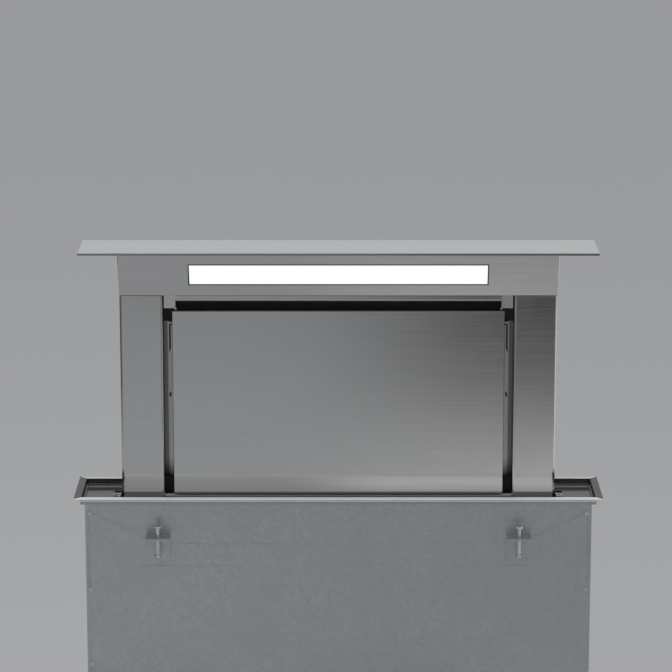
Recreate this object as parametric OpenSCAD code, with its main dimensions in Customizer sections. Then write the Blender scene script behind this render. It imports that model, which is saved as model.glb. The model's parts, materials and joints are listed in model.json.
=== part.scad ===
// Rising downdraft vent for a worktop, drawn with its mast raised.
// Millimetres, +Z up, front towards -Y. The origin is the centre of the deck
// on the worktop's top plane.

/* [Deck] */
// Width of the deck flange
deck_w = 880; // [860:1:1000]
// Depth of the deck flange
deck_d = 140; // [136:1:160]
// Width of the flange around the recess
deck_rim = 12; // [10:0.5:13]
// Thickness of the deck's sheet
deck_sheet = 1.5; // [1:0.1:2]
// Depth of the recess below the flange's top face
recess_depth = 11; // [9:0.5:14]
// Thickness of the seal under the flange
seal_t = 1; // [0.5:0.1:3]
// Distance that the seal stays inside the flange's edge
seal_inset = 3; // [1:0.5:5]
// Gap between the deck's slot and the mast
slot_gap = 1; // [0.8:0.1:2]
// Width of the notch in the deck at each side of the mast
notch_w = 12; // [8:0.5:14]
// Depth of the notch in the deck
notch_d = 18.5; // [8:0.5:22]
// Distance of the notch's rear end behind the mast's front
notch_back = 15.5; // [10:0.5:20]
// Thickness of the lid's seal along the recess's wall
lid_seal_t = 0.6; // [0.4:0.1:0.7]
// Depth of the lid's seat along the front and rear of the recess
seat_d = 11; // [6:0.5:12]
// Width of the lid's seat at the ends of the recess
seat_w = 4; // [2:0.5:6]
// Gap between the lowered lid and its seat
seat_gap = 2; // [1:0.5:2.5]
// Gap between the wiper's lip and the mast
lip_gap = 0.4; // [0.3:0.1:0.8]
// Width of the wiper around the mast
wiper_w = 4; // [3:0.5:5]
// Thickness of the wiper
wiper_t = 2; // [1:0.5:3]

/* [Lid and lift] */
// Travel of the lift
lift_travel = 413; // [300:1:450]
// Thickness of the lid
lid_t = 4; // [3:0.5:6]
// Gap between the lid and the recess, when lowered
lid_gap = 1; // [0.8:0.1:2]

/* [Mast] */
// Overhang of the lid at each side of the mast
lid_overhang = 63; // [60:0.5:70]
// Depth of the mast
mast_d = 46; // [44:0.5:48]
// Gap between the mast's back and the rear wall of the recess
mast_rear_gap = 6; // [5:0.5:8]
// Length of the mast below the worktop when raised
mast_foot = 140; // [120:1:200]
// Width of a side column
column_w = 72; // [60:1:80]
// Thickness of the folded sheet
sheet = 1.2; // [0.8:0.1:1.5]
// Radius of the folds along a column's front
column_fold_r = 4; // [1.8:0.1:5]
// Shadow gap between the head and the columns
head_reveal = 0.5; // [0.5:0.1:2]

/* [Head and light] */
// Height of the head
head_h = 80; // [70:1:100]
// Reach of the head's top edge in front of the mast
head_reach = 35.5; // [25:0.5:38]
// Radius of the folds along the head's sloping face
head_fold_r = 2; // [1.2:0.1:2.5]
// Outer radius of the head's lower front edge
head_edge_r = 1.6; // [1:0.1:1.8]
// Width of the light
light_w = 493; // [300:1:520]
// Height of the light along the sloping face
light_h = 38; // [30:1:44]
// Distance along the sloping face from its lower edge to the light
light_up = 23.5; // [18:0.5:28]
// Gap around the light in its window
light_gap = 2; // [0.5:0.1:3]
// Depth of the diffuser behind the window's sheet
diffuser_t = 2; // [1.5:0.1:3]
// Margin of the lamp tray's rim around the diffuser
diffuser_lip = 5; // [3:0.5:6]
// Clearance of the diffuser in the lamp tray
light_fit = 0.1; // [0.05:0.05:0.3]
// Width of the ledge behind the diffuser
tray_ledge = 2; // [1:0.5:3]
// Wall behind the lamp tray's lights
tray_wall = 1; // [0.8:0.1:2]
// Depth of the lamp tray behind the diffuser
lamp_depth = 15; // [12:0.5:18]
// Number of light-emitting chips
chip_count = 24; // [8:1:40]
// Width of a chip
chip = 4; // [3:0.5:5]
// Length of the light's driver
driver_l = 140; // [80:1:200]
// Width of the light's driver
driver_w = 24; // [18:0.5:26]
// Height of the light's driver
driver_h = 22; // [16:0.5:24]
// Distance of the light's driver from the middle
driver_x = 60; // [10:1:140]
// Gap behind the light's driver
driver_gap = 4; // [1:0.5:5]

/* [Front panel] */
// Width of the suction slot beside the panel
side_slot = 16; // [12:0.5:20]
// Height of the suction slot above the panel
top_slot = 15; // [10:0.5:24]
// Height of the rail under the head
rail_h = 10.5; // [8:0.5:12]
// Radius of the rail's lower fold
rail_lip_r = 4; // [2:0.5:6]
// Depth of the folded front panel
panel_d = 9; // [8:0.5:10]
// Radius of the panel's top edge
panel_r = 2; // [1.5:0.5:4]
// Length of the panel below the floor of the recess
panel_drop = 1; // [0.5:0.5:3]
// Gap between the panel and the plate below it
foot_gap = 3; // [2.5:0.5:6]
// Depth of the fold along the top of the plate below the panel
foot_fold = 13; // [8:0.5:14]
// Distance of the panel's pins behind its front face
pin_back = 5.5; // [5:0.1:5.5]
// Radius of a panel pin
pin_r = 1.75; // [1.5:0.05:2.2]
// Running clearance of pins and shafts
run_fit = 0.05; // [0.03:0.01:0.08]
// Clearance of parts that are fixed to each other
seat_fit = 0.02; // [0.01:0.01:0.05]
// Width of a panel catch
catch_w = 21; // [15:0.5:24]
// Height of a panel catch
catch_h = 21.5; // [16:0.5:23]
// Gap between a panel catch and its column
catch_gap = 2; // [1:0.5:3]

/* [Filters] */
// Gap between the panel and the filters
panel_air = 6; // [5:0.5:7]
// Thickness of a filter
filter_t = 9; // [7:0.5:10]
// Width of a filter's frame bar
filter_bar = 12; // [8:0.5:16]
// Gap between the two filters and beside them
filter_gap = 2; // [1:0.5:4]
// Overlap of a filter on its window
filter_seat = 8; // [5:0.5:10]
// Distance of the filters inside the panel's side edges
filter_inset = 6; // [4:0.5:8]
// Height of the filters above the panel's hinge
filter_low = 10; // [8:0.5:14]
// Distance of the filters below the panel's top edge
filter_down = 16; // [14:0.5:20]
// Height of the liners' foot above the filters' lower edge
liner_low = 5; // [0:1:60]
// Width of the cuts in a slot's liner
liner_cut_w = 4; // [3:0.5:5]
// Distance of the hook slot below the filters' top
liner_hook_down = 12; // [8:1:20]
// Height of the hook slot
liner_hook_h = 48; // [30:1:60]
// Distance of the notch below the filters' top
liner_notch_down = 126; // [90:1:180]
// Distance from the top of the liner down to its slit
liner_slit_down = 3; // [2:0.5:6]
// Height of the slit
liner_slit_h = 2.5; // [1.5:0.5:4]

/* [Guides and carriage] */
// Radius of a guide rod
rod_r = 6; // [5:0.5:7]
// Distance of a guide rod from the mast's side
rod_off = 31; // [29:0.5:32]
// Radius of a guide bush
bush_r = 9.5; // [9:0.5:10]
// Length of a guide bush
bush_l = 25; // [15:1:30]
// Width of a carriage block
block_w = 46; // [43:0.5:47]
// Depth of a carriage block
block_d = 36; // [34:0.5:38]
// Height of a carriage block
block_h = 70; // [60:1:75]
// Height of the carriage's crossbar
crossbar_h = 10; // [8:0.5:14]
// Distance of the carriage behind the mast's front
carriage_inset = 8; // [7:0.5:10]

/* [Lift drive] */
// Pitch radius of a belt pulley
pulley_r = 15; // [14:0.5:15]
// Thickness of the belt
belt_t = 1.5; // [1:0.1:2]
// Width of the belt
belt_w = 10; // [8:0.5:11]
// Distance of the belt's middle from the mast's side
belt_off = 12; // [11:0.5:12]
// Gap between the belt and what it passes
belt_gap = 0.35; // [0.3:0.05:0.5]
// Distance of the belt in front of the carriage
belt_stand = 5; // [5:0.1:5.5]
// Number of teeth on a pulley
pulley_teeth = 18; // [12:1:24]
// Radius of the drive shaft
shaft_r = 6; // [5:0.5:7]
// Height below the lowered mast for the drive
drive_room = 147; // [140:1:200]
// Height of the drive shaft above the body's bottom
shaft_up = 45; // [42:1:48]
// Radius of the lift motor's can
motor_r = 26; // [20:1:28]
// Length of the lift motor's can
motor_l = 105; // [70:1:140]
// Distance of the gearbox from the middle
gearbox_x = 110; // [60:1:150]
// Length of the gearbox along the shaft
gearbox_l = 50; // [40:1:60]
// Radius of the coiled lamp lead
coil_r = 8; // [6:0.5:9]
// Distance of the coiled lead from the body's end
coil_in = 122; // [102:1:162]

/* [Body] */
// Gap between the recess and the body at each side
body_inset = 6; // [5:0.5:6]
// Width of the fold along a body end
fold_w = 14; // [12:0.5:20]
// Number of screws up each edge of the body
screw_rows = 6; // [3:1:8]
// Distance of the first and last of these screws from the edge
screw_edge = 15; // [10:1:25]
// Radius of a casing screw's shank
screw_r = 1.8; // [1.5:0.1:2]
// Radius of a casing screw's head
screw_head_r = 3.6; // [3:0.1:4.5]
// Height of a casing screw's head
screw_head_h = 2; // [1.5:0.1:2.5]
// Clearance around a casing screw's shank
screw_gap = 0.3; // [0.2:0.05:0.4]
// Height of a stiffening bead on the body
bead_h = 1; // [0.6:0.1:1.5]
// Width of a stiffening bead
bead_w = 8; // [6:0.5:12]
// Distance of the upper bead below the body's top
bead_down = 110; // [100:1:130]
// Distance between the two beads
bead_step = 120; // [30:1:150]
// Distance of a bead's end from the body's end
bead_end = 90; // [40:1:150]

/* [Blower] */
// Distance of the blower's axis left of the middle
blower_left = 40; // [20:1:60]
// Height of the blower's axis above the body's bottom
blower_up = 140; // [135:1:170]
// Radius of the impeller
impeller_r = 85; // [70:1:90]
// Width of the impeller
impeller_w = 78; // [60:1:80]
// Number of impeller blades
blade_count = 32; // [16:1:44]
// Radius of the blower's inlet
inlet_r = 70; // [60:1:72]
// Width of the scroll
scroll_w = 130; // [122:1:140]
// Growth of the scroll's radius
scroll_grow = 68; // [55:1:70]
// Gap between the impeller and the scroll's tongue
tongue_gap = 12; // [8:0.5:16]
// Sheet thickness of the blower
blower_sheet = 1.5; // [1:0.1:2]
// Thickness of the blower's gasket
gasket_t = 2; // [1:0.5:4]
// Radius of the blower motor
fan_motor_r = 48; // [40:1:52]
// Length of the blower motor outside the scroll
fan_motor_l = 50; // [40:1:60]

/* [Outlet] */
// Outer radius of the duct collar
collar_r = 74.5; // [70:0.5:75]
// Wall of the duct collar
collar_wall = 2; // [1.5:0.1:3]
// Length of the duct collar
collar_l = 58; // [50:1:70]
// Length of the transition to the collar
transition_l = 60; // [40:1:80]
// Radius of the flap pin
flap_pin_r = 2; // [1.5:0.1:2.5]
// Thickness of a flap
flap_t = 1.5; // [1:0.1:2]

/* [Legs and clamps] */
// Height of the body's bottom above the feet
leg_h = 45; // [40:1:60]
// Height of a leg's top above the body's bottom
leg_rise = 130; // [115:1:180]
// Height of the leg screws above the body's bottom
leg_screw_up = 40; // [30:1:50]
// Thickness of a leg's sheet
leg_t = 2.5; // [2:0.1:3]
// Depth of a leg's upright
leg_d = 100; // [90:1:106]
// Reach of a foot in front of the body
foot_reach = 112; // [90:1:140]
// Width of a foot
foot_w = 60; // [50:1:80]
// Height of the fold along a foot's outer edge
foot_fold_h = 16; // [10:1:24]
// Distance of a foot's screw holes from its ends
foot_hole_in = 18; // [12:1:26]
// Radius of a foot's screw holes
foot_hole_r = 2.75; // [2.25:0.25:3.25]
// Radius of a leg screw
leg_screw_r = 3; // [2.5:0.1:3.5]
// Downward adjustment of a leg
leg_down = 60; // [40:1:70]
// Upward adjustment of a leg
leg_up = 20; // [10:1:30]
// Distance of a worktop clamp from the body's end
clamp_in = 122; // [82:1:222]
// Width of a worktop clamp
clamp_w = 40; // [30:1:60]
// Reach of a worktop clamp in front of the body
clamp_reach = 36; // [30:1:50]
// Thickness of the thickest worktop that the clamps take
worktop_t = 40; // [20:1:45]

/* [Electrics box] */
// Distance of the electrics box from the body's end
ebox_side = 17; // [4:1:30]
// Gap between the electrics box and the blower
ebox_gap = 12; // [4:1:24]
// Height of the electrics box above the body's bottom
ebox_up = 230; // [200:1:300]
// Height of the electrics box
ebox_h = 130; // [110:1:160]
// Depth of the electrics box
ebox_d = 48; // [40:1:60]
// Radius of the mains lead's hole in the gland
gland_r = 4; // [3:0.1:5]
// Distance of the gland from the electrics box's outer side
gland_in = 60; // [54:1:80]
// Length of the gland below the electrics box
gland_l = 20; // [14:1:26]

/* [Hidden] */
$fn = 48;
over = 1;

// Deck
top_z = seal_t + deck_sheet;
recess_w = deck_w - 2*deck_rim;
recess_d = deck_d - 2*deck_rim;
floor_top = top_z - recess_depth;
floor_bot = floor_top - deck_sheet;
seat_top = top_z - lid_t - seat_gap;

// Lid and mast, raised
lid_w = recess_w - 2*lid_gap;
lid_d = recess_d - 2*lid_gap;
lid_top = top_z + lift_travel;
lid_bot = lid_top - lid_t;
mast_x = lid_w/2 - lid_overhang;
mast_y1 = recess_d/2 - mast_rear_gap;
mast_y0 = mast_y1 - mast_d;
mast_bot = -mast_foot;
head_z = lid_bot - head_h;
column_x = mast_x - column_w;
column_top = head_z - head_reveal;

// Sloping face of the head
lean = atan(head_reach/head_h);
face_l = head_h/cos(lean);

// Panel
panel_x = column_x - side_slot;
panel_top = head_z - rail_h - top_slot;
panel_bot = floor_top - panel_drop;
panel_y1 = mast_y0 + panel_d;
hinge_y = mast_y0 + pin_back;
hinge_z = 0;
bracket_r = pin_r + 1.6;
bracket_x = [panel_x - 6.5, panel_x - 3.5];
foot_top = panel_bot - foot_gap;
slot_y0 = mast_y0 - head_reach - slot_gap;
notch_x = mast_x + slot_gap;

// Filters
filter_y0 = panel_y1 + panel_air;
filter_y1 = filter_y0 + filter_t;
filter_x = panel_x - filter_inset;
filter_z0 = hinge_z + filter_low;
filter_z1 = panel_top - filter_down;
plate_y1 = filter_y1 + sheet;

// Body
body_x = recess_w/2 - body_inset;
body_y = recess_d/2;
body_top = floor_bot;
body_bot = mast_bot - lift_travel - drive_room;
web_x = body_x - sheet;
wall_y = body_y - sheet;
coil_x = body_x - coil_in;

// Guides and drive
rod_x = mast_x + rod_off;
carriage_y0 = mast_y0 + carriage_inset;
carriage_y1 = carriage_y0 + block_d;
rod_y = carriage_y0 + 16;
rod_top = body_top - 20;
rod_bot = body_bot + 10;
holder_h = 20;
holder_w = 24;
belt_x = mast_x + belt_off;
shaft_y = carriage_y0 - belt_stand - pulley_r;
shaft_z = body_bot + shaft_up;
idler_z = body_top - 50;
rim_r = pulley_r + 3;
rim_t = 1.2;
pin_core_r = 4;
coil_y = shaft_y - 19;
coil_bot = body_bot + sheet + 8;
bearing_r = 12;
bearing_x = [rod_x - 3, rod_x + 7];
belt_clamp_z = [mast_bot + 15, mast_bot + 45];
switch_l = 20;

// Blower
blower_x = -blower_left;
blower_z = body_bot + blower_up;
scroll_y0 = -body_y - gasket_t;
scroll_y1 = scroll_y0 - scroll_w;
scroll_r0 = impeller_r + tongue_gap;
scroll_r1 = scroll_r0 + scroll_grow;
tongue_a = 38;
tongue_z = scroll_r0*sin(tongue_a);
throat_l = 130;
impeller_y0 = scroll_y0 - 12;
impeller_y1 = impeller_y0 - impeller_w;
fan_hub_r = 14;
fan_shaft_r = 5;
scroll_left = scroll_r1 + 8;
plate_hole_r = fan_motor_r - 4;

// Outlet
throat_x = blower_x + throat_l;
transition_x = throat_x + transition_l;
collar_x1 = transition_x + collar_l;
collar_in = collar_r - collar_wall;
duct_y = -body_y - 4 - collar_r;
duct_z = blower_z + (tongue_z + scroll_r1)/2;
flap_x = transition_x + 20;
flap_r = collar_in - 1.5;
knuckle_r = 4;
knuckle_l = 24;

// Legs
leg_x0 = body_x + 0.2;
leg_x1 = leg_x0 + leg_t;
foot_z = body_bot - leg_h;
leg_top = body_bot + leg_rise;
leg_screw_z = body_bot + leg_screw_up;
leg_screw_y = leg_d*0.3;

// Worktop clamps
clamp_x = body_x - clamp_in;
clamp_y = -body_y - clamp_reach + 14;
clamp_z = [body_top - 95, body_top - 50];
clamp_rows = [clamp_z[0] + 10, clamp_z[0] + 25];

// Electrics box
ebox_x0 = -body_x + ebox_side;
ebox_x1 = blower_x - scroll_left - ebox_gap;
ebox_z0 = body_bot + ebox_up;
ebox_z1 = ebox_z0 + ebox_h;
ebox_y1 = -body_y - ebox_d;
gland_x = ebox_x0 + gland_in;
gland_y = -body_y - ebox_d/2;
gland_nut = 8;
lock_nut = 5;
gland_top = ebox_z0 + gland_nut;

// Circuit board, its parts and the terminal block
board_t = 1.6;
board_edge = 12;
board_side = [60, 10];
standoff = 8;
standoff_r = 2.5;
relay = [18, 16, 14];
relay_pitch = 24;
transformer = [40, 28, 35];
capacitor_r = 5;
capacitor_l = 16.4;
terminal = [42, 20, 22];
terminal_side = 8;
terminal_up = 60;
terminal_pitch = 8;
terminal_r = 2.5;

// Colours
steel = [0.62, 0.62, 0.63];
pale_steel = [0.75, 0.75, 0.76];
zinc = [0.6, 0.62, 0.65];
black = [0.08, 0.08, 0.09];
dark = [0.25, 0.25, 0.27];
white = [0.97, 0.98, 0.98];
green = [0.1, 0.35, 0.2];

// ---------- helpers ----------

// A block between two corners, given as ranges
module block(x, y, z) {
    translate([x[0], y[0], z[0]]) cube([x[1] - x[0], y[1] - y[0], z[1] - z[0]]);
}

// A block that spans the same distance left and right
module wide(x, y, z) {
    block([-x, x], y, z);
}

module both_sides() {
    children();
    mirror([1, 0, 0]) children();
}

module x_rod(r, x, y, z) {
    translate([x[0], y, z]) rotate([0, 90, 0]) cylinder(r = r, h = x[1] - x[0]);
}

module y_rod(r, x, y, z) {
    translate([x, y[1], z]) rotate([90, 0, 0]) cylinder(r = r, h = y[1] - y[0]);
}

module z_rod(r, x, y, z) {
    translate([x, y, z[0]]) cylinder(r = r, h = z[1] - z[0]);
}

// A (y, z) outline drawn out along X
module along_x(x) {
    translate([x[0], 0, 0]) rotate([90, 0, 90]) linear_extrude(x[1] - x[0]) children();
}

// An (x, z) outline drawn out along Y
module along_y(y) {
    translate([0, y[1], 0]) rotate([90, 0, 0]) linear_extrude(y[1] - y[0]) children();
}

// Places children on the head's sloping face: X right, Z up the face, +Y inwards
module on_slope() {
    translate([0, mast_y0, head_z]) rotate([lean, 0, 0]) children();
}

// Places of the screws in the front and rear sheets, as [x, z]
function edge_screws() = [
    for (side = [-1, 1], row = [0 : screw_rows - 1])
        [side*(web_x - fold_w/2),
         body_bot + screw_edge + row*(body_top - body_bot - 2*screw_edge)/(screw_rows - 1)]
];

// Screws that hold the scroll's flange to the front sheet
function scroll_screws() = [
    for (x = [blower_x - scroll_left + 6, blower_x + throat_l - 8],
         z = [blower_z - scroll_r1 + 38, blower_z + scroll_r1 + 9]) [x, z]
];

// Screws that hold the worktop clamps
function clamp_holes() = [
    for (side = [-1, 1], z = clamp_rows) [side*clamp_x, z]
];

// Screws that hold the blower's motor
function motor_screws() = [
    for (a = [45 : 90 : 315])
        [blower_x + (fan_motor_r + 4)*cos(a), blower_z + (fan_motor_r + 4)*sin(a)]
];

module front_holes(points, depth) {
    for (p = points)
        y_rod(screw_r + screw_gap, p[0], [-body_y - depth, -body_y + 2*sheet + over], p[1]);
}

// A casing screw that enters along +Y at the given surface
module front_screw(p, surface, reach) {
    y_rod(screw_head_r, p[0], [surface - screw_head_h, surface], p[1]);
    y_rod(screw_r, p[0], [surface, surface + reach], p[1]);
}

// ---------- deck ----------

module deck_frame() color(pale_steel)
    difference() {
        union() {
            wide(deck_w/2, [-deck_d/2, deck_d/2], [seal_t, top_z]);
            wide(recess_w/2 + deck_sheet, [-recess_d/2 - deck_sheet, recess_d/2 + deck_sheet],
                [floor_bot, top_z]);
        }
        wide(recess_w/2, [-recess_d/2, recess_d/2], [seat_top, top_z + over]);
        // The lid's seat is left around the deeper part
        wide(recess_w/2 - seat_w, [-recess_d/2 + seat_d, recess_d/2 - seat_d],
            [floor_top, seat_top + over]);
        // The slot lets the mast and the head down
        wide(mast_x + slot_gap, [slot_y0, mast_y1 + slot_gap], [floor_bot - over, seat_top + over]);
        both_sides()
            block([notch_x - over, notch_x + notch_w],
                [mast_y0 + notch_back - notch_d, mast_y0 + notch_back],
                [floor_bot - over, floor_top + over]);
    }

module deck_seal() color(black) {
    difference() {
        wide(deck_w/2 - seal_inset, [-deck_d/2 + seal_inset, deck_d/2 - seal_inset], [0, seal_t]);
        wide(recess_w/2 + deck_sheet + 0.5,
            [-recess_d/2 - deck_sheet - 0.5, recess_d/2 + deck_sheet + 0.5], [-over, seal_t + over]);
    }
    // Four strips on the recess's walls seal the lowered lid
    strip_z = [seat_top, top_z - 0.5];
    both_sides()
        block([recess_w/2 - lid_seal_t, recess_w/2], [-recess_d/2, recess_d/2], strip_z);
    for (y = [[-recess_d/2, -recess_d/2 + lid_seal_t], [recess_d/2 - lid_seal_t, recess_d/2]])
        wide(recess_w/2 - lid_seal_t, y, strip_z);
}

// A wiper along the sides and the back of the slot
module mast_wiper() color(black) {
    lip_x = mast_x + lip_gap;
    lip_y = mast_y1 + lip_gap;
    difference() {
        wide(lip_x + wiper_w, [slot_y0, lip_y + wiper_w], [floor_bot - wiper_t, floor_bot]);
        wide(lip_x, [slot_y0 - over, lip_y], [floor_bot - wiper_t - over, floor_bot + over]);
    }
}

// A clip with a round front and a screw, in front of each notch
module deck_clips() color(pale_steel) {
    clip_r = notch_w/2;
    clip_x = notch_x + clip_r + 0.5;
    clip_y1 = mast_y0 + notch_back - notch_d;
    both_sides() {
        block([clip_x - clip_r, clip_x + clip_r], [clip_y1 - 12, clip_y1], [floor_top, floor_top + 1.5]);
        z_rod(clip_r, clip_x, clip_y1 - 12, [floor_top, floor_top + 1.5]);
        z_rod(screw_head_r, clip_x, clip_y1 - 10, [floor_top + 1.5, floor_top + 3]);
    }
}

// ---------- body ----------

module beads(y) {
    for (z = [body_top - bead_down, body_top - bead_down - bead_step])
        wide(body_x - bead_end, y, [z - bead_w/2, z + bead_w/2]);
}

module body_front() color(zinc) {
    difference() {
        union() {
            wide(body_x, [-body_y, -wall_y], [body_bot, body_top]);
            beads([-body_y - bead_h, -body_y]);
        }
        y_rod(inlet_r + 2, blower_x, [-body_y - over, -wall_y + over], blower_z);
        front_holes(concat(edge_screws(), scroll_screws(), clamp_holes()), over);
    }
}

module body_rear() color(zinc) {
    difference() {
        union() {
            wide(body_x, [wall_y, body_y], [body_bot, body_top]);
            beads([body_y, body_y + bead_h]);
        }
        rotate([0, 0, 180]) front_holes(edge_screws(), over);
    }
}

// A body end: a web with a fold to the front and one to the rear
module body_end() {
    difference() {
        union() {
            block([web_x, body_x], [-wall_y, wall_y], [body_bot, body_top]);
            for (y = [[-wall_y, -wall_y + sheet], [wall_y - sheet, wall_y]])
                block([web_x - fold_w, web_x], y, [body_bot + sheet, body_top]);
        }
        front_holes(edge_screws(), over);
        rotate([0, 0, 180]) front_holes(edge_screws(), over);
        for (y = [-leg_screw_y, leg_screw_y])
            x_rod(leg_screw_r + 0.1, [web_x - over, body_x + over], y, leg_screw_z);
    }
}

module body_ends() color(zinc) both_sides() body_end();

module body_floor() color(zinc) {
    wide(web_x, [-wall_y, wall_y], [body_bot, body_bot + sheet]);
    z_rod(coil_r + 2, -coil_x, coil_y, [body_bot + sheet, coil_bot]);
}

module casing_screws() color(pale_steel) {
    for (p = edge_screws()) {
        front_screw(p, -body_y, 2*sheet + 2);
        rotate([0, 0, 180]) front_screw(p, -body_y, 2*sheet + 2);
    }
    for (p = scroll_screws())
        front_screw(p, scroll_y0 - blower_sheet, gasket_t + blower_sheet + sheet + 2);
    for (p = clamp_holes())
        front_screw(p, -body_y - leg_t, leg_t + sheet + 2);
    for (p = motor_screws())
        front_screw(p, scroll_y1 - blower_sheet - 3, 3 + blower_sheet + 2);
}

// ---------- guides and lift drive ----------

module guide_rods() color(pale_steel)
    both_sides() z_rod(rod_r, rod_x, rod_y, [rod_bot, rod_top]);

module rod_holders() color(dark)
    both_sides() difference() {
        union() {
            block([rod_x - holder_w/2, web_x], [rod_y - holder_w/2, rod_y + holder_w/2],
                [body_bot + sheet, rod_bot + holder_h - 10]);
            block([rod_x - holder_w/2, web_x], [shaft_y - 10, rod_y + holder_w/2],
                [rod_top - 15, rod_top + 5]);
            block([belt_x + belt_w/2 + 5, web_x], [shaft_y - 10, shaft_y + 10],
                [idler_z - 15, rod_top - 15]);
        }
        z_rod(rod_r + seat_fit, rod_x, rod_y, [rod_bot, rod_top]);
        x_rod(pin_core_r + seat_fit, [mast_x, web_x + over], shaft_y, idler_z);
    }

module idler_pins() color(pale_steel)
    both_sides() {
        x_rod(pin_core_r, [belt_x - belt_w/2 - 4, web_x], shaft_y, idler_z);
        x_rod(pin_core_r + 2, [belt_x - belt_w/2 - 6, belt_x - belt_w/2 - 4], shaft_y, idler_z);
    }

// One side of a belt's outline, as the hull of the two pulleys' circles
module belt_outline(r) {
    translate([shaft_y, shaft_z]) circle(r);
    translate([shaft_y, idler_z]) circle(r);
    translate([shaft_y - r, shaft_z]) square([2*r, idler_z - shaft_z]);
}

module lift_belts() color(black)
    both_sides() along_x([belt_x - belt_w/2, belt_x + belt_w/2]) difference() {
        belt_outline(pulley_r + belt_t/2);
        belt_outline(pulley_r - belt_t/2);
    }

// A toothed belt pulley with two rims, on the given axis height
module pulley(bore, z) {
    tooth_r = pulley_r - belt_t/2 - belt_gap;
    half = belt_w/2 + 0.5;
    difference() {
        union() {
            x_rod(tooth_r, [belt_x - half, belt_x + half], shaft_y, z);
            for (x = [belt_x - half - rim_t, belt_x + half])
                x_rod(rim_r, [x, x + rim_t], shaft_y, z);
        }
        x_rod(bore, [belt_x - half - rim_t - over, belt_x + half + rim_t + over], shaft_y, z);
        for (i = [0 : pulley_teeth - 1])
            translate([0, shaft_y, z]) rotate([360*i/pulley_teeth, 0, 0])
                block([belt_x - half, belt_x + half], [tooth_r - 1, tooth_r + over], [-1, 1]);
    }
}

module drive_shaft() color(pale_steel)
    x_rod(shaft_r, [-rod_x - 10, rod_x + 10], shaft_y, shaft_z);

module drive_pulleys() color(dark) both_sides() pulley(shaft_r + seat_fit, shaft_z);

module idlers() color(dark) both_sides() pulley(pin_core_r + run_fit, idler_z);

module shaft_bearings() color(dark)
    both_sides() difference() {
        union() {
            block(bearing_x, [shaft_y - bearing_r, shaft_y + bearing_r], [body_bot + sheet, shaft_z]);
            x_rod(bearing_r, bearing_x, shaft_y, shaft_z);
        }
        x_rod(shaft_r + run_fit, [bearing_x[0] - over, bearing_x[1] + over], shaft_y, shaft_z);
    }

module lift_motor() color(dark) {
    motor_y = shaft_y - 14;
    motor_z = shaft_z + motor_r + shaft_r + 4;
    box_x = [gearbox_x, gearbox_x + gearbox_l];
    difference() {
        union() {
            block(box_x, [motor_y - motor_r - 2, shaft_y + 16], [body_bot + sheet, motor_z + motor_r]);
            block([box_x[0] - 12, box_x[1] + 12], [motor_y - motor_r - 2, shaft_y + 16],
                [body_bot + sheet, body_bot + sheet + 4]);
            x_rod(motor_r, [box_x[1], box_x[1] + motor_l], motor_y, motor_z);
            x_rod(motor_r - 6, [box_x[1] + motor_l, box_x[1] + motor_l + 5], motor_y, motor_z);
        }
        x_rod(shaft_r + run_fit, [box_x[0] - over, box_x[1] + over], shaft_y, shaft_z);
    }
}

module limit_switches() color(black) {
    switch_x = mast_x + block_w + 2.5;
    for (z = [mast_bot + block_h - 14, mast_bot - lift_travel - 10])
        block([switch_x, web_x], [rod_y - switch_l/2 + 4, rod_y + switch_l/2 + 4], [z, z + switch_l]);
}

// ---------- worktop clamps and legs ----------

module worktop_clamps() color(zinc)
    both_sides() difference() {
        union() {
            block([clamp_x - clamp_w/2, clamp_x + clamp_w/2], [-body_y - leg_t, -body_y], clamp_z);
            block([clamp_x - clamp_w/2, clamp_x + clamp_w/2], [-body_y - clamp_reach, -body_y],
                [clamp_z[1] - leg_t, clamp_z[1]]);
        }
        z_rod(leg_screw_r + 0.1, clamp_x, clamp_y, [clamp_z[1] - leg_t - over, clamp_z[1] + over]);
        for (p = clamp_holes())
            y_rod(screw_r + screw_gap, p[0], [-body_y - leg_t - over, -body_y + over], p[1]);
    }

module clamp_screws() color(pale_steel)
    both_sides() {
        z_rod(leg_screw_r, clamp_x, clamp_y, [clamp_z[0] + 15, -worktop_t - 4]);
        z_rod(2.2*leg_screw_r, clamp_x, clamp_y, [-worktop_t - 4, -worktop_t - 1]);
        translate([clamp_x, clamp_y, clamp_z[0] + 11])
            cylinder(r = 1.9*leg_screw_r, h = 4, $fn = 6);
    }

module leg() {
    foot_y = [-body_y - foot_reach, body_y];
    difference() {
        union() {
            block([leg_x0, leg_x1], [-leg_d/2, leg_d/2], [foot_z, leg_top]);
            block([leg_x1 - foot_w, leg_x1], foot_y, [foot_z, foot_z + leg_t]);
            block([leg_x0, leg_x1], foot_y, [foot_z, foot_z + foot_fold_h]);
        }
        for (y = [-leg_screw_y, leg_screw_y]) {
            low = leg_screw_z - leg_up - 4;
            high = leg_screw_z + leg_down + 4;
            gap_r = leg_screw_r + 0.5;
            for (z = [low, high])
                x_rod(gap_r, [leg_x0 - over, leg_x1 + over], y, z);
            block([leg_x0 - over, leg_x1 + over], [y - gap_r, y + gap_r], [low, high]);
        }
        for (y = [foot_y[0] + foot_hole_in, foot_y[1] - foot_hole_in])
            z_rod(foot_hole_r, leg_x1 - foot_w/2, y, [foot_z - over, foot_z + leg_t + over]);
    }
}

module left_leg() color(zinc) mirror([1, 0, 0]) leg();

module right_leg() color(zinc) leg();

module leg_screws() color(pale_steel)
    both_sides()
        for (y = [-leg_screw_y, leg_screw_y]) {
            x_rod(leg_screw_r, [web_x - 6, leg_x1 + 0.3], y, leg_screw_z);
            translate([leg_x1 + 0.3, y, leg_screw_z]) rotate([0, 90, 0])
                cylinder(r = 2.1*leg_screw_r, h = 4, $fn = 6);
        }

// ---------- electrics ----------

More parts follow.
